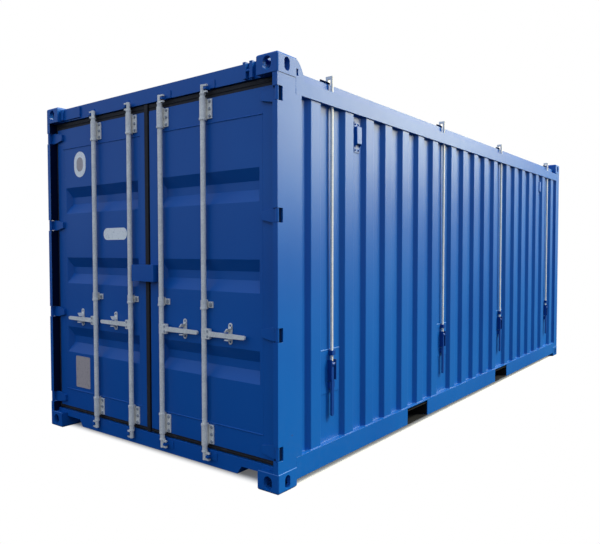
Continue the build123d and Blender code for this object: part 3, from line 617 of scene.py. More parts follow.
@dataclass
class Studio:
    """The photograph's camera, a pale floor and soft light from the long side."""

    place: tuple[float, float, float] = (3.448, -5.741, 1.4445)
    turn_deg: float = 37.323
    tip_deg: float = -2.068
    roll_deg: float = -0.054
    sensor_mm: float = 36.0
    focal_px: float = 606.15
    image_px: int = 600
    floor_radius: float = 60.0
    floor_sides: int = 64
    floor_grey: Colour = tint(232, 232, 232)
    shadow_reach: float = 0.04
    shadow_depth: float = 0.07
    shadow_set_back: float = 0.08
    shadow_share: float = 0.9
    bounce: float = 0.04
    mirrored_loss: float = 0.5
    panel_size: tuple[float, float] = (9.0, 9.0)
    panel_distance: float = 16.0
    panel_turn_deg: float = 49.0
    panel_rise_deg: float = 29.5
    panel_power: float = 2700.0
    panel_warmth: Vector = Vector((1.0, 0.95, 0.66))
    sun_turn_deg: float = 42.0
    sun_rise_deg: float = 48.0
    sun_strength: float = 3.3
    sun_warmth: Vector = Vector((1.0, 0.96, 0.74))
    sun_spread_deg: float = 12.0
    horizon: float = 0.73
    zenith: float = 1.4
    mirrored_white: float = 0.8
    sky: Colour = (0.62, 0.75, 1.0, 1.0)

    def camera(self) -> None:
        """Stand the camera where the photograph was taken."""
        data = bpy.data.cameras.new("photo_camera")
        data.sensor_fit = "HORIZONTAL"
        data.sensor_width = self.sensor_mm
        data.lens = self.focal_px / self.image_px * self.sensor_mm
        camera = bpy.data.objects.new("photo_camera", data)
        camera.location = self.place
        turn = Matrix.Rotation(math.radians(self.turn_deg), 3, "Z")
        tip = Matrix.Rotation(math.radians(90 + self.tip_deg), 3, "X")
        roll = Matrix.Rotation(math.radians(self.roll_deg), 3, "Z")
        camera.rotation_euler = (turn @ tip @ roll).to_euler()
        bpy.context.scene.collection.objects.link(camera)
        bpy.context.scene.camera = camera

    def world(self) -> None:
        """Light the object more from above than from the side, and show white to the camera."""
        world = bpy.data.worlds.new("studio")
        bpy.context.scene.world = world
        world.use_nodes = True
        bench = Bench(world.node_tree)
        rays = bench.node("ShaderNodeLightPath")
        camera = rays.also("Is Camera Ray")
        glossy = rays.also("Is Glossy Ray")
        through = rays.also("Is Transmission Ray")
        seen = camera + through
        way = bench.node("ShaderNodeTexCoord", output="Generated")
        rise = bench.node("ShaderNodeSeparateXYZ", inputs={0: way}).also("Z")
        ambient = self.horizon + rise.math("MAXIMUM", rise, 0.0) * (self.zenith - self.horizon)
        strength = seen + glossy * self.mirrored_white + (1.0 - seen - glossy) * ambient
        colour = bench.mix(seen, self.sky, WHITE)
        white = bench.node("ShaderNodeBackground", inputs={"Color": colour, "Strength": strength})
        bench.node("ShaderNodeOutputWorld", inputs={"Surface": white})

    def lamp(self, data: bpy.types.Light, turn_deg: float, rise_deg: float, distance: float) -> None:
        """Hang a lamp that looks at the middle of the base.

        Args:
            data: The lamp's light.
            turn_deg: Its place round the object, from +X towards +Y.
            rise_deg: Its height above the horizon.
            distance: Metres from the middle of the base.
        """
        lamp = bpy.data.objects.new(data.name, data)
        turn, rise = math.radians(turn_deg), math.radians(rise_deg)
        way = Vector((math.cos(turn) * math.cos(rise), math.sin(turn) * math.cos(rise), math.sin(rise)))
        lamp.location = way * distance
        lamp.rotation_euler = way.to_track_quat("Z", "Y").to_euler()
        bpy.context.scene.collection.objects.link(lamp)

    def lamps(self) -> None:
        """Hang a wide panel that the long side mirrors, and a soft key light."""
        panel = bpy.data.lights.new("soft_panel", "AREA")
        panel.shape = "RECTANGLE"
        panel.size, panel.size_y = self.panel_size
        panel.energy = self.panel_power
        panel.color = self.panel_warmth
        self.lamp(panel, self.panel_turn_deg, self.panel_rise_deg, self.panel_distance)
        key = bpy.data.lights.new("soft_key", "SUN")
        key.energy = self.sun_strength
        key.color = self.sun_warmth
        key.angle = math.radians(self.sun_spread_deg)
        self.lamp(key, self.sun_turn_deg, self.sun_rise_deg, self.panel_distance)

    def floor(self) -> None:
        """Lay the pale floor, white to the camera apart from the shadow round the base."""
        mesh = bpy.data.meshes.new("studio_floor")
        work = bmesh.new()
        bmesh.ops.create_circle(work, cap_ends=True, segments=self.floor_sides, radius=self.floor_radius)
        work.to_mesh(mesh)
        work.free()
        floor = bpy.data.objects.new("studio_floor", mesh)
        bpy.context.scene.collection.objects.link(floor)
        mesh.materials.append(self.floor_material())

    def floor_material(self) -> bpy.types.Material:
        """Return a pale floor that keeps the shadow near the object."""
        bench = PaintBench("studio_floor")
        _, high = CAD_BOX
        away = bench.x.math("MAXIMUM", abs(bench.x) - high.x, abs(bench.y) - (high.y - self.shadow_set_back))
        near = 1.0 - bench.step(away, -self.shadow_depth, self.shadow_reach)
        rays = bench.node("ShaderNodeLightPath")
        seen = rays.also("Is Camera Ray") + rays.also("Is Transmission Ray")
        glossy = rays.also("Is Glossy Ray")
        ground = self.bounce * (1.0 - glossy * self.mirrored_loss)
        grey = bench.mix(seen, ground, self.floor_grey)
        pale = bench.node("ShaderNodeBsdfDiffuse", inputs={"Color": grey})
        white = bench.node("ShaderNodeEmission", inputs={"Color": WHITE, "Strength": 1.0})
        share = seen * (1.0 - near * self.shadow_share)
        blend = bench.node("ShaderNodeMixShader", inputs={0: share, 1: pale, 2: white})
        bench.node("ShaderNodeOutputMaterial", inputs={"Surface": blend})
        return bench.material

    def build(self) -> None:
        """Set the view and make the camera, the light and the floor."""
        bpy.context.scene.view_settings.view_transform = "Standard"
        self.camera()
        self.world()
        self.lamps()
        self.floor()


def add_piece(name: str, mesh: bpy.types.Mesh, body: str, replaces: Iterable[str] = ()) -> None:
    """Put a finished mesh in the scene and hand it to the frame.

    Args:
        name: The piece's name.
        mesh: Its mesh, in the frame's metres.
        body: The body that it rides on.
        replaces: CAD nodes that it stands for.
    """
    piece = bpy.data.objects.new(name, mesh)
    bpy.context.scene.collection.objects.link(piece)
    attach(piece, body)
    for node in replaces:
        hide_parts(node)
    LOG.info("%s rides on %s with %d faces", name, body, len(mesh.polygons))


def settled(mesh: bpy.types.Mesh, corner_deg: float) -> bpy.types.Mesh:
    """Return a smooth mesh whose large flat faces stay flat.

    Args:
        mesh: The mesh to shade, which is used up.
        corner_deg: Edges that turn by more than this stay sharp.

    Returns:
        A mesh whose corner normals follow its larger faces.
    """
    name = mesh.name
    mesh.shade_smooth()
    mesh.set_sharp_from_angle(angle=math.radians(corner_deg))
    carrier = bpy.data.objects.new(f"{name}_carrier", mesh)
    bpy.context.scene.collection.objects.link(carrier)
    modifier = carrier.modifiers.new("settle", "WEIGHTED_NORMAL")
    modifier.keep_sharp = True
    view = bpy.context.evaluated_depsgraph_get()
    result = bpy.data.meshes.new_from_object(carrier.evaluated_get(view))
    bpy.data.objects.remove(carrier)
    bpy.data.meshes.remove(mesh)
    result.name = name
    return result


@dataclass
class EasedNode:
    """A copy of one CAD node with eased edges and smooth curves."""

    node: str
    material: bpy.types.Material
    slot: Slot
    ease: float = 1.5 * MM
    ease_steps: int = 2
    flat_deg: float = 0.5
    corner_deg: float = 35.0

    def eases(self, edge: bmesh.types.BMEdge) -> bool:
        """Return whether a sharp edge is eased, which is so on most nodes."""
        return True

    def shape(self, work: bmesh.types.BMesh) -> None:
        """Leave the eased copy in its shape."""

    def paint(self, mesh: bpy.types.Mesh) -> None:
        """Give the whole mesh the node's one material."""
        mesh.materials.append(self.material)

    def build(self) -> None:
        """Copy the node, ease its corners and let the copy stand for it."""
        source = frame["nodes"][self.node]
        corner, flat = math.radians(self.corner_deg), math.radians(self.flat_deg)
        work = bmesh.new()
        work.from_mesh(source.data)
        bmesh.ops.remove_doubles(work, verts=work.verts, dist=SAME_PLACE)
        bmesh.ops.dissolve_limit(work, angle_limit=flat, verts=work.verts, edges=work.edges)
        manifold = [edge for edge in work.edges if edge.is_manifold]
        bmesh.ops.bevel(
            work,
            geom=[edge for edge in manifold if edge.calc_face_angle() > corner and self.eases(edge)],
            offset=self.ease,
            segments=self.ease_steps,
            profile=0.5,
            affect="EDGES",
            clamp_overlap=True,
        )
        self.shape(work)
        mesh = bpy.data.meshes.new(f"dressed_{self.node}")
        work.to_mesh(mesh)
        work.free()
        mesh.materials.clear()
        self.paint(mesh)
        mesh = settled(mesh, self.corner_deg)
        add_piece(mesh.name, mesh, source["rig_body"], [self.node])


@dataclass(kw_only=True)
class TwoToneNode(EasedNode):
    """A node with a second paint on some of its faces."""

    second: bpy.types.Material

    def takes_second(self, face: bpy.types.MeshPolygon) -> bool:
        """Return whether a face has the second paint, which each kind of node decides."""
        raise NotImplementedError

    def paint(self, mesh: bpy.types.Mesh) -> None:
        """Give the mesh both paints, and each face its own."""
        super().paint(mesh)
        mesh.materials.append(self.second)
        for face in mesh.polygons:
            face.material_index = int(self.takes_second(face))


@dataclass(kw_only=True)
class LockGearNode(TwoToneNode):
    """The roof-lock brackets, whose fittings are darker than their plates on the wall."""

    plate_t: float = 5 * MM

    def __post_init__(self) -> None:
        """Find how far from the middle the backs of the plates stand."""
        self.back_x = min(abs(vertex.co.x) for vertex in frame["nodes"][self.node].data.vertices)

    def takes_second(self, face: bpy.types.MeshPolygon) -> bool:
        """Return whether a face stands in front of its plate."""
        return abs(face.center.x) - self.back_x > self.plate_t


@dataclass(kw_only=True)
class TopNode(TwoToneNode):
    """A node at the roof whose upward faces are weathered and dull."""

    upward: float = 0.5

    def takes_second(self, face: bpy.types.MeshPolygon) -> bool:
        """Return whether a face looks up."""
        return face.normal.z > self.upward


@dataclass(kw_only=True)
class CastingNode(TopNode):
    """Corner castings whose outer upright edges are round."""

    corner_r: float = 12 * MM
    corner_steps: int = 4

    def start(self) -> Vector:
        """Return where the arcs start, as distances from the middle along X and Y."""
        return CAD_BOX[1].xy - Vector((self.corner_r, self.corner_r))

    def past(self, vertex: bmesh.types.BMVert) -> Vector:
        """Return how far a vertex lies past the starts of the arcs."""
        return Vector((abs(vertex.co.x), abs(vertex.co.y))) - self.start()

    def eases(self, edge: bmesh.types.BMEdge) -> bool:
        """Return whether an edge is eased, which the outer upright ones are not."""
        reaches = [self.past(vertex) for vertex in edge.verts]
        return not all(min(reach) > 0 and abs(reach.x - reach.y) < SAME_PLACE for reach in reaches)

    def shape(self, work: bmesh.types.BMesh) -> None:
        """Cut the faces beside the outer edges into strips and pull these onto arcs."""
        start = self.start()
        for axis, way in enumerate((Vector((1, 0, 0)), Vector((0, 1, 0)))):
            for step in range(self.corner_steps):
                cut = start[axis] + self.corner_r * math.tan(math.pi / 4 * step / self.corner_steps)
                for side in (-1, 1):
                    whole = [*work.verts, *work.edges, *work.faces]
                    bmesh.ops.bisect_plane(work, geom=whole, plane_co=way * cut * side, plane_no=way)
        for vertex in work.verts:
            past = self.past(vertex)
            if min(past) > 0:
                place = start + past * (max(past) / past.length)
                vertex.co.x = math.copysign(place.x, vertex.co.x)
                vertex.co.y = math.copysign(place.y, vertex.co.y)


@dataclass(kw_only=True)
class RearPostNode(TwoToneNode):
    """A rear post whose face towards the door's edge carries painted shade, the dark of the deep groove
    beside the door.
    """

    painted_shade_end_y: float = -2.92
    square: float = 0.99

    def takes_second(self, face: bpy.types.MeshPolygon) -> bool:
        """Return whether a face looks squarely at the door's edge."""
        inward = -face.normal.x * math.copysign(1, face.center.x)
        return inward > self.square and face.center.y < self.painted_shade_end_y


@dataclass(kw_only=True)
class DoorFrameNode(TwoToneNode):
    """A door frame whose hinge knuckles carry painted shade behind their pins, the dark of the hinge slots.
    """

    knuckle_x: float = 1.19
    pin_y: float = -3.014
    outward: float = 0.5

    def takes_second(self, face: bpy.types.MeshPolygon) -> bool:
        """Return whether a face of a knuckle looks outwards behind its pin."""
        turned_out = face.normal.x * math.copysign(1, face.center.x) > self.outward
        return turned_out and face.center.y > self.pin_y and abs(face.center.x) > self.knuckle_x


@dataclass
class RolledSheet:
    """A trapezoid wall, rolled with round bends along the outline of its CAD node."""

    node: str
    along: int
    outward: Vector
    material: bpy.types.Material
    bend: float = 11 * MM
    bend_steps: int = 4
    snap: float = 0.05 * MM
    corner_deg: float = 40.0

    def levels(self) -> tuple[float, float]:
        """Return the heights of the sheet's foot and head."""
        heights = [vertex.co.z for vertex in frame["nodes"][self.node].data.vertices]
        return min(heights), max(heights)

    def rows(self) -> dict[int, list[Vector]]:
        """Return the CAD sheet's foot corners, gathered by their place along the wall."""
        foot, _ = self.levels()
        rows: dict[int, list[Vector]] = {}
        for vertex in frame["nodes"][self.node].data.vertices:
            if vertex.co.z - foot < self.snap:
                rows.setdefault(round(vertex.co[self.along] / self.snap), []).append(vertex.co.copy())
        return rows

    def outline(self) -> list[Vector]:
        """Return the outer corners of the sheet's foot in order along the wall."""
        rows = self.rows()
        return [max(rows[row], key=self.outward.dot) for row in sorted(rows)]

    def seams(self) -> list[list[Vector]]:
        """Return the welds along the sheet's foot and head."""
        corners = self.outline()
        return [[Vector((corner.x, corner.y, level)) for corner in corners] for level in self.levels()]

    def sheet(self) -> float:
        """Return how thick the CAD sheet is."""
        depths = [point.dot(self.outward) for point in next(iter(self.rows().values()))]
        return max(depths) - min(depths)

    def build(self) -> None:
        """Grow the sheet and let it stand for its CAD node."""
        foot, head = self.levels()
        sizes = {
            "Rise": Vector((0, 0, head - foot)),
            "Inward": -self.outward * self.sheet(),
            "Bend": self.bend,
        }
        tree = TreeBench("rolled_sheet", sizes)
        line = tree.node("GeometryNodeMeshToCurve", inputs={"Mesh": tree.start})
        round_line = tree.node(
            "GeometryNodeFilletCurve",
            {"mode": "POLY"},
            {"Curve": line, "Count": self.bend_steps, "Radius": tree.size("Bend"), "Limit Radius": True},
        )
        edge = tree.node("GeometryNodeCurveToMesh", inputs={"Curve": round_line})
        skin = tree.node(
            "GeometryNodeExtrudeMesh", {"mode": "EDGES"}, {"Mesh": edge, "Offset": tree.size("Rise")}
        )
        back = tree.node(
            "GeometryNodeExtrudeMesh",
            {"mode": "FACES"},
            {"Mesh": skin, "Offset": tree.size("Inward"), "Individual": False},
        )
        whole = tree.joined(tree.node("GeometryNodeFlipFaces", inputs={"Mesh": skin}), back)
        closed = tree.node("GeometryNodeMergeByDistance", inputs={"Geometry": whole, "Distance": self.snap})
        tree.close(closed, self.material)
        name = f"rolled_{self.node}"
        mesh = tree.grow(name, seed_paths(name, [self.outline()]))
        self.face_outwards(mesh)
        add_piece(name, settled(mesh, self.corner_deg), "root", [self.node])

    def face_outwards(self, mesh: bpy.types.Mesh) -> None:
        """Turn every face of the closed sheet outwards."""
        work = bmesh.new()
        work.from_mesh(mesh)
        bmesh.ops.recalc_face_normals(work, faces=work.faces)
        work.to_mesh(mesh)
        work.free()


@dataclass
class Beads:
    """Round beads along open paths, such as welds."""

    name: str
    paths: list[list[Vector]]
    material: bpy.types.Material
    body: str = "root"
    slot: Slot = Slot.PAINT
    radius: float = 4 * MM
    ripple: float = 7 * MM
    unevenness: float = 0.25
    sides: int = 6
    seed: int = 7

    def build(self) -> None:
        """Grow the beads as one piece."""
        sizes = {"Radius": self.radius, "Ripple": self.ripple, "Unevenness": self.unevenness}
        tree = TreeBench("weld_seams", sizes)
        line = tree.node("GeometryNodeMeshToCurve", inputs={"Mesh": tree.start})
        beads = tree.node(
            "GeometryNodeResampleCurve", {"mode": "LENGTH"}, {"Curve": line, "Length": tree.size("Ripple")}
        )
        spread = tree.size("Unevenness")
        girth = tree.random(1.0 - spread, 1.0 + spread, self.seed)
        ring = tree.node(
            "GeometryNodeCurvePrimitiveCircle",
            inputs={"Resolution": self.sides, "Radius": tree.size("Radius")},
        )
        bead = tree.node(
            "GeometryNodeCurveToMesh",
            inputs={"Curve": beads, "Profile Curve": ring, "Scale": girth, "Fill Caps": True},
        )
        tree.close(bead, self.material)
        mesh = tree.grow(self.name, seed_paths(self.name, self.paths))
        mesh.shade_smooth()
        add_piece(self.name, mesh, self.body)


@dataclass(frozen=True)
class BoltSize:
    """The sizes of a hexagon bolt's head and of its washer."""

    head_r: float
    head_h: float
    washer_r: float
    washer_h: float = 2.5 * MM


BRACKET_BOLT = BoltSize(head_r=8 * MM, head_h=6 * MM, washer_r=11 * MM)
HUB_BOLT = BoltSize(head_r=7 * MM, head_h=2 * MM, washer_r=9 * MM, washer_h=1 * MM)
TAB_BOLT = BoltSize(head_r=5 * MM, head_h=5 * MM, washer_r=7 * MM)


@dataclass
class Bolts:
    """Hexagon bolts with washers, all of one size, on one body."""

    name: str
    points: list[tuple[Vector, Vector]]
    body: str
    material: bpy.types.Material
    size: BoltSize
    slot: Slot = Slot.GALVANISED
    head_sides: int = 6
    washer_sides: int = 18
    corner_deg: float = 40.0
    seed: int = 3

    def build(self) -> None:
        """Grow the bolts as one piece."""
        sizes = {
            "Head radius": self.size.head_r,
            "Head height": self.size.head_h,
            "Washer radius": self.size.washer_r,
            "Washer height": self.size.washer_h,
        }
        tree = TreeBench("bolts", sizes)
        washer_h = tree.size("Washer height")
        head = tree.disc(self.head_sides, tree.size("Head radius"), tree.size("Head height"), washer_h)
        washer = tree.disc(self.washer_sides, tree.size("Washer radius"), washer_h)
        upright = tree.node(
            "FunctionNodeAlignRotationToVector", {"axis": "Z"}, {"Vector": tree.attribute("facing")}
        )
        twist = tree.vector(0.0, 0.0, tree.random(0.0, math.tau, self.seed))
        turned = tree.node(
            "FunctionNodeRotateRotation",
            {"rotation_space": "LOCAL"},
            {"Rotation": upright, "Rotate By": twist},
        )
        bolts = tree.node(
            "GeometryNodeInstanceOnPoints",
            inputs={"Points": tree.start, "Instance": tree.joined(head, washer), "Rotation": turned},
        )
        tree.close(bolts, self.material)
        mesh = tree.grow(self.name, seed_points(self.name, self.points))
        mesh.shade_smooth()
        mesh.set_sharp_from_angle(angle=math.radians(self.corner_deg))
        add_piece(self.name, mesh, self.body)


@dataclass
class FloorPanels:
    """Plywood floor panels with narrow joints, laid in the room of the CAD floor."""

    material: bpy.types.Material
    node: str = "floor"
    across: int = 2
    along: int = 5
    joint: float = 3 * MM

    def build(self) -> None:
        """Grow the panels and let them stand for the CAD floor."""
        low, high = box_of_node(self.node)
        step = Vector(((high.x - low.x) / self.across, (high.y - low.y) / self.along, high.z - low.z))
        panel = step - Vector((self.joint, self.joint, 0))
        middles = [
            low + Vector((step.x * (row + 0.5), step.y * (column + 0.5), step.z / 2))
            for row in range(self.across)
            for column in range(self.along)
        ]
        mesh = grow_blocks("floor_panels", panel, middles, self.material)
        add_piece("floor_panels", mesh, "root", [self.node])


@dataclass
class HookBars:
    """Flat bars on the edges of the roof, one through the hook of each rod, whose near-black paint is
    painted shade under the hooks.
    """

    material: bpy.types.Material
    node: str = "hard_top_roof"
    rods: str = "roof_lock_rod"
    length: float = 105 * MM
    past: float = 3 * MM
    thick: float = 7 * MM
    rise: float = 15 * MM
    sunk: float = 3 * MM
    inset: float = 0.5 * MM

    def middles(self) -> list[Vector]:
        """Return the middle of each bar."""
        roof = frame["nodes"][self.node].data.vertices
        _, high = box_of(roof)
        edge_z = max(vertex.co.z for vertex in roof if high.x - vertex.co.x < MM)
        places = []
        for node in frame["nodes"]:
            if node.startswith(self.rods):
                first, last = box_of_node(node)
                x = math.copysign(high.x - self.inset - self.thick / 2, first.x)
                y = (first.y + last.y) / 2 + self.past - self.length / 2
                places.append(Vector((x, y, edge_z + (self.rise - self.sunk) / 2)))
        return places

    def build(self) -> None:
        """Grow the bars as one piece."""
        size = Vector((self.thick, self.length, self.rise + self.sunk))
        mesh = grow_blocks("hook_bars", size, self.middles(), self.material)
        add_piece("hook_bars", mesh, "root")


@dataclass
class DoorLeaf:
    """The bolts, weld seams and rubber lips of one door leaf and of the gear that it carries."""

    side: str
    palette: Palette
    flange_t: float = 8 * MM
    flange_inset: float = 17 * MM
    bolt_end: float = 25 * MM
    tall_bracket: float = 100 * MM
    hub_bolt: float = 58 * MM
    hub_bolt_rise: float = 17 * MM
    hub_step: float = 9.5 * MM
    seam_r: float = 4.5 * MM
    lip_r: float = 5 * MM
    lip_side: float = 14 * MM
    lip_top: float = 25 * MM
    lip_unevenness: float = 0.03
    gasket_t: float = 26 * MM

    def bracket_bolts(self) -> list[tuple[Vector, Vector]]:
        """Return a row of bolts up the flange of each bar bracket."""
        points = []
        for low, high in solids_of(f"bar_brackets_{self.side}"):
            rows = [low.z + self.bolt_end, high.z - self.bolt_end]
            if high.z - low.z > self.tall_bracket:
                rows.append((low.z + high.z) / 2)
            for row in rows:
                place = Vector((high.x - self.flange_inset, high.y - self.flange_t, row))
                points.append((place, OUT_OF_DOOR))
        return points

    def hub_bolts(self, place: str) -> list[tuple[Vector, Vector]]:
        """Return the two bolts that clamp one handle to its bar."""
        low, high = box_of_node(f"bar_handle_{self.side}_{place}")
        across = low.x + self.hub_bolt if self.side == "right" else high.x - self.hub_bolt
        middle = (low.z + high.z) / 2
        rises = (-self.hub_bolt_rise, self.hub_bolt_rise)
        face = low.y + self.hub_step
        return [(Vector((across, face, middle + rise)), OUT_OF_DOOR) for rise in rises]

    def seams(self) -> list[list[Vector]]:
        """Return the welded foot and head of the pressed panel as two paths."""
        low, high = box_of_node(f"door_panel_{self.side}")
        return [[Vector((x, low.y, z)) for x in (low.x, high.x)] for z in (low.z, high.z)]

    def lips(self) -> list[list[Vector]]:
        """Return the raised lip of the gasket, along its foot, hinge side and head."""
        low, high = box_of_node(f"door_gasket_{self.side}")
        if self.side == "right":
            inner, outer = low.x, high.x - self.lip_side
        else:
            inner, outer = high.x, low.x + self.lip_side
        foot, head = low.z + self.lip_side, high.z - self.lip_top
        corners = [(inner, foot), (outer, foot), (outer, head), (inner, head)]
        return [[Vector((x, high.y - self.gasket_t, z)) for x, z in corners]]

    def build(self) -> None:
        """Add the bolts, seams and lips of the leaf and the bolts of its bars."""
        body = f"door_{self.side}"
        # The bolts get the darker zinc, which paints shade round their heads.
        zinc = self.palette.shaded_bolt_zinc
        Bolts(f"door_bolts_{self.side}", self.bracket_bolts(), body, zinc, BRACKET_BOLT).build()
        for place in ("outer", "inner"):
            bar = f"{self.side}_{place}"
            Bolts(f"hub_bolts_{bar}", self.hub_bolts(place), f"bar_{bar}", zinc, HUB_BOLT).build()
        Beads(f"door_seams_{self.side}", self.seams(), self.palette.paint, body, radius=self.seam_r).build()
        Beads(
            f"gasket_lips_{self.side}",
            self.lips(),
            self.palette.rubber,
            body,
            Slot.RUBBER,
            radius=self.lip_r,
            unevenness=self.lip_unevenness,
        ).build()


@dataclass
class BlankPlate:
    """A thin blank plate with round corners on the face of a door."""

    name: str
    middle: tuple[float, float]
    size: tuple[float, float]
    corner: float
    material: bpy.types.Material
    node: str = "door_panel_left"
    body: str = "door_left"
    thickness: float = 1.5 * MM
    steps: int = 10

    def outline(self) -> list[tuple[float, float]]:
        """Return the plate's edge as places along X and Z."""
        half_w, half_h = self.size[0] / 2 - self.corner, self.size[1] / 2 - self.corner
        points = []
        for quarter, (way_x, way_z) in enumerate(((1, 1), (-1, 1), (-1, -1), (1, -1))):
            for step in range(self.steps + 1):
                angle = math.radians(90 * (quarter + step / self.steps))
                x = self.middle[0] + way_x * half_w + self.corner * math.cos(angle)
                z = self.middle[1] + way_z * half_h + self.corner * math.sin(angle)
                points.append((x, z))
        return points

    def build(self) -> None:
        """Lay the plate on the door's face."""
        low, _ = box_of_node(self.node)
        work = bmesh.new()
        back = work.faces.new([work.verts.new((x, low.y, z)) for x, z in self.outline()])
        front = bmesh.ops.extrude_face_region(work, geom=[back])["geom"]
        moved = [item for item in front if isinstance(item, bmesh.types.BMVert)]
        bmesh.ops.translate(work, verts=moved, vec=OUT_OF_DOOR * self.thickness)
        bmesh.ops.remove_doubles(work, verts=work.verts, dist=SAME_PLACE)
        bmesh.ops.recalc_face_normals(work, faces=work.faces)
        mesh = bpy.data.meshes.new(self.name)
        work.to_mesh(mesh)
        work.free()
        mesh.materials.append(self.material)
        add_piece(self.name, mesh, self.body)


@dataclass
class Ventilators:
    """The painted bolts on the tabs of the ventilator plates."""

    paint: bpy.types.Material
    node: str = "ventilators"
    plate_t: float = 4 * MM
    half_spread: float = 20 * MM
    end: float = 17 * MM

    def build(self) -> None:
        """Add two bolts above and two below each hood."""
        points = []
        for low, high in solids_of(self.node):
            out = Vector((math.copysign(1, low.x), 0, 0))
            inner = min(abs(low.x), abs(high.x))
            middle = (low.y + high.y) / 2
            for y in (middle - self.half_spread, middle + self.half_spread):
                for z in (low.z + self.end, high.z - self.end):
                    points.append((Vector((out.x * (inner + self.plate_t), y, z)), out))
        Bolts("ventilator_bolts", points, "root", self.paint, TAB_BOLT, Slot.PAINT).build()


def box_of(vertices: Iterable[bpy.types.MeshVertex]) -> Box:
    """Return the lowest and highest corner round some vertices."""
    places = [vertex.co for vertex in vertices]
    low = Vector(min(place[axis] for place in places) for axis in range(3))
    high = Vector(max(place[axis] for place in places) for axis in range(3))
    return low, high


def box_of_node(node: str) -> Box:
    """Return the lowest and highest corner of a CAD node."""
    return box_of(frame["nodes"][node].data.vertices)


def solids_of(node: str) -> list[Box]:
    """Return the boxes round the separate solids of a CAD node.

    Args:
        node: The node's name.

    Returns:
        One box for each solid, in no fixed order.
    """
    work = bmesh.new()
    work.from_mesh(frame["nodes"][node].data)
    bmesh.ops.remove_doubles(work, verts=work.verts, dist=SAME_PLACE)
    left = set(work.verts)
    boxes: list[Box] = []
    while left:
        island = {left.pop()}
        edge = list(island)
        while edge:
            vertex = edge.pop()
            for link in vertex.link_edges:
                other = link.other_vert(vertex)
                if other in left:
                    left.remove(other)
                    island.add(other)
                    edge.append(other)
        boxes.append(box_of(island))
    work.free()
    return boxes


def rail_seams(rail_h: float = 90 * MM, sunk: float = 2 * MM) -> list[list[Vector]]:
    """Return the upright welds where the top side rails meet the posts.

    Args:
        rail_h: Height of the rail's box section.
        sunk: How far the middle of the weld lies inside the rail's outer face.

    Returns:
        One path for each end of each rail.
    """
    paths = []
    for side in SIDES:
        low, high = box_of_node(f"top_side_rail_{side}")
        x = high.x - sunk if side == "right" else low.x + sunk
        for y in (low.y, high.y):
            paths.append([Vector((x, y, z)) for z in (low.z, low.z + rail_h)])
    return paths


def casting_seams(sunk: float = 0.5 * MM) -> list[list[Vector]]:
    """Return the welds round the heads of the bottom castings, where the posts stand on them.

    Args:
        sunk: How far the middle of the weld lies inside the post's outer faces.

    Returns:
        One path round the two outer faces of each post.
    """
    _, outer = CAD_BOX
    _, post = box_of_node("rear_corner_post_right")
    set_back = outer.x - post.x + sunk
    out_x, out_y = outer.x - set_back, outer.y - set_back
    paths = []
    for low, high in solids_of("corner_castings_bottom"):
        way_x, way_y = math.copysign(1, low.x), math.copysign(1, low.y)
        in_x, in_y = min(abs(low.x), abs(high.x)), min(abs(low.y), abs(high.y))
        turns = [(out_x, in_y), (out_x, out_y), (in_x, out_y)]
        paths.append([Vector((x * way_x, y * way_y, high.z + sunk)) for x, y in turns])
    return paths


def plate_seams(sunk: float = 2 * MM) -> list[list[Vector]]:
    """Return the welds along the heads of the roof-lock plates.

    Args:
        sunk: How far the middle of the weld lies in front of the plate's back.

    Returns:
        One level path for each plate.
    """
    paths = []
    for low, high in solids_of("roof_lock_brackets"):
        x = low.x + sunk if low.x > 0 else high.x - sunk
        paths.append([Vector((x, y, high.z)) for y in (low.y, high.y)])
    return paths


def slots_of_nodes() -> dict[str, Slot]:
    """Return the material slot of each CAD node, as the record gives it."""
    rows = frame["record"]["subparts"]
    return {row["node"]: Slot(row["material_slot"]) for row in rows}


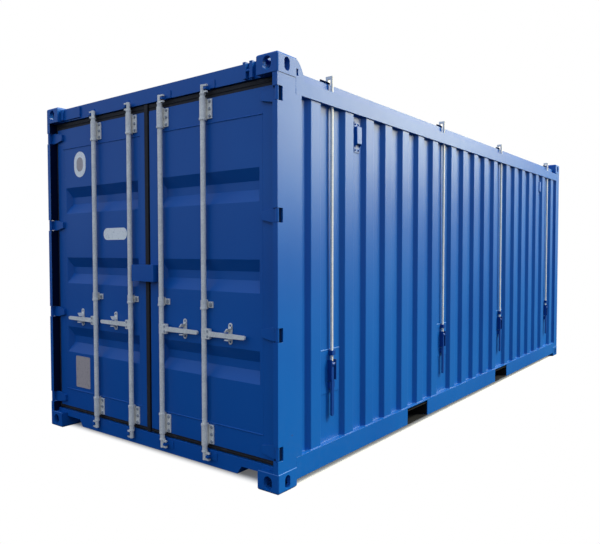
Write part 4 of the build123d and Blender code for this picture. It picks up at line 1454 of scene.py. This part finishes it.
def dressed_node(node: str, slot: Slot, palette: Palette) -> EasedNode:
    """Return the copy that dresses a CAD node, with the finishes of its kind.

    Args:
        node: The node's name.
        slot: Its material slot.
        palette: The container's materials.

    Returns:
        The copy, not yet built.
    """
    if node == "roof_lock_brackets":
        return LockGearNode(node, palette.paint, slot, second=palette.gear)
    if node.startswith("rear_corner_post"):
        return RearPostNode(node, palette.paint, slot, second=palette.painted_shade)
    if node.startswith("door_frame"):
        return DoorFrameNode(node, palette.paint, slot, second=palette.painted_shade)
    if node.startswith("corner_castings"):
        return CastingNode(node, palette.paint, slot, second=palette.roof)
    if node.startswith(TOP_NODES):
        return TopNode(node, palette.paint, slot, second=palette.roof)
    if node.startswith("door_panel"):
        return EasedNode(node, palette.paint, slot, corner_deg=PRESSED_CORNER_DEG)
    if node.startswith(GEAR_NODES):
        return EasedNode(node, palette.gear, slot)
    if node in UNDER_NODES:
        return EasedNode(node, palette.underbody, slot)
    return EasedNode(node, palette.of_slot(slot), slot)


def add_seams(sheets: Iterable[RolledSheet], palette: Palette) -> None:
    """Add the welds of the walls, rails, castings and roof-lock plates.

    Args:
        sheets: The rolled walls.
        palette: The container's materials.
    """
    wall_seams = [path for sheet in sheets for path in sheet.seams()]
    Beads("wall_seams", wall_seams, palette.paint).build()
    Beads("rail_seams", rail_seams(), palette.paint, radius=3 * MM).build()
    # The casting and plate welds are in the lighter blue, a painted highlight on their beads.
    Beads("casting_seams", casting_seams(), palette.painted_highlight, radius=2.6 * MM).build()
    Beads("plate_seams", plate_seams(), palette.painted_highlight).build()


def add_plates(palette: Palette) -> None:
    """Lay the blank plates on the left door.

    Args:
        palette: The container's materials.
    """
    white, grey = palette.white, palette.grey
    round_middle = (-0.838, 2.120)
    plates = [
        BlankPlate("round_plate", round_middle, (0.155, 0.200), 0.0774, white),
        BlankPlate("round_plate_middle", round_middle, (0.085, 0.110), 0.0424, grey, thickness=2.5 * MM),
        BlankPlate("long_plate", (-0.394, 1.567), (0.284, 0.089), 0.0444, white),
        BlankPlate("data_plate", (-0.831, 0.475), (0.190, 0.250), 0.012, grey),
    ]
    for plate in plates:
        plate.build()


def main() -> None:
    """Build the studio, the finishes and every dressed piece in order."""
    Studio().build()
    palette = Palette()
    sheets = [
        RolledSheet("side_wall_right", 1, Vector((1, 0, 0)), palette.paint),
        RolledSheet("side_wall_left", 1, Vector((-1, 0, 0)), palette.paint),
        RolledSheet("front_wall", 0, Vector((0, 1, 0)), palette.paint),
    ]
    floor = FloorPanels(palette.boards)
    grown = {floor.node, *(sheet.node for sheet in sheets)}
    for node, slot in slots_of_nodes().items():
        if node not in grown:
            dressed_node(node, slot, palette).build()
    for sheet in sheets:
        sheet.build()
    add_seams(sheets, palette)
    # The hook bars take the near-black material, which paints the shade under the rod hooks.
    HookBars(palette.painted_shade).build()
    floor.build()
    for side in SIDES:
        DoorLeaf(side, palette).build()
    Ventilators(palette.paint).build()
    add_plates(palette)


if __name__ == "__main__":
    logging.basicConfig(level=logging.INFO, format="%(message)s")
    main()
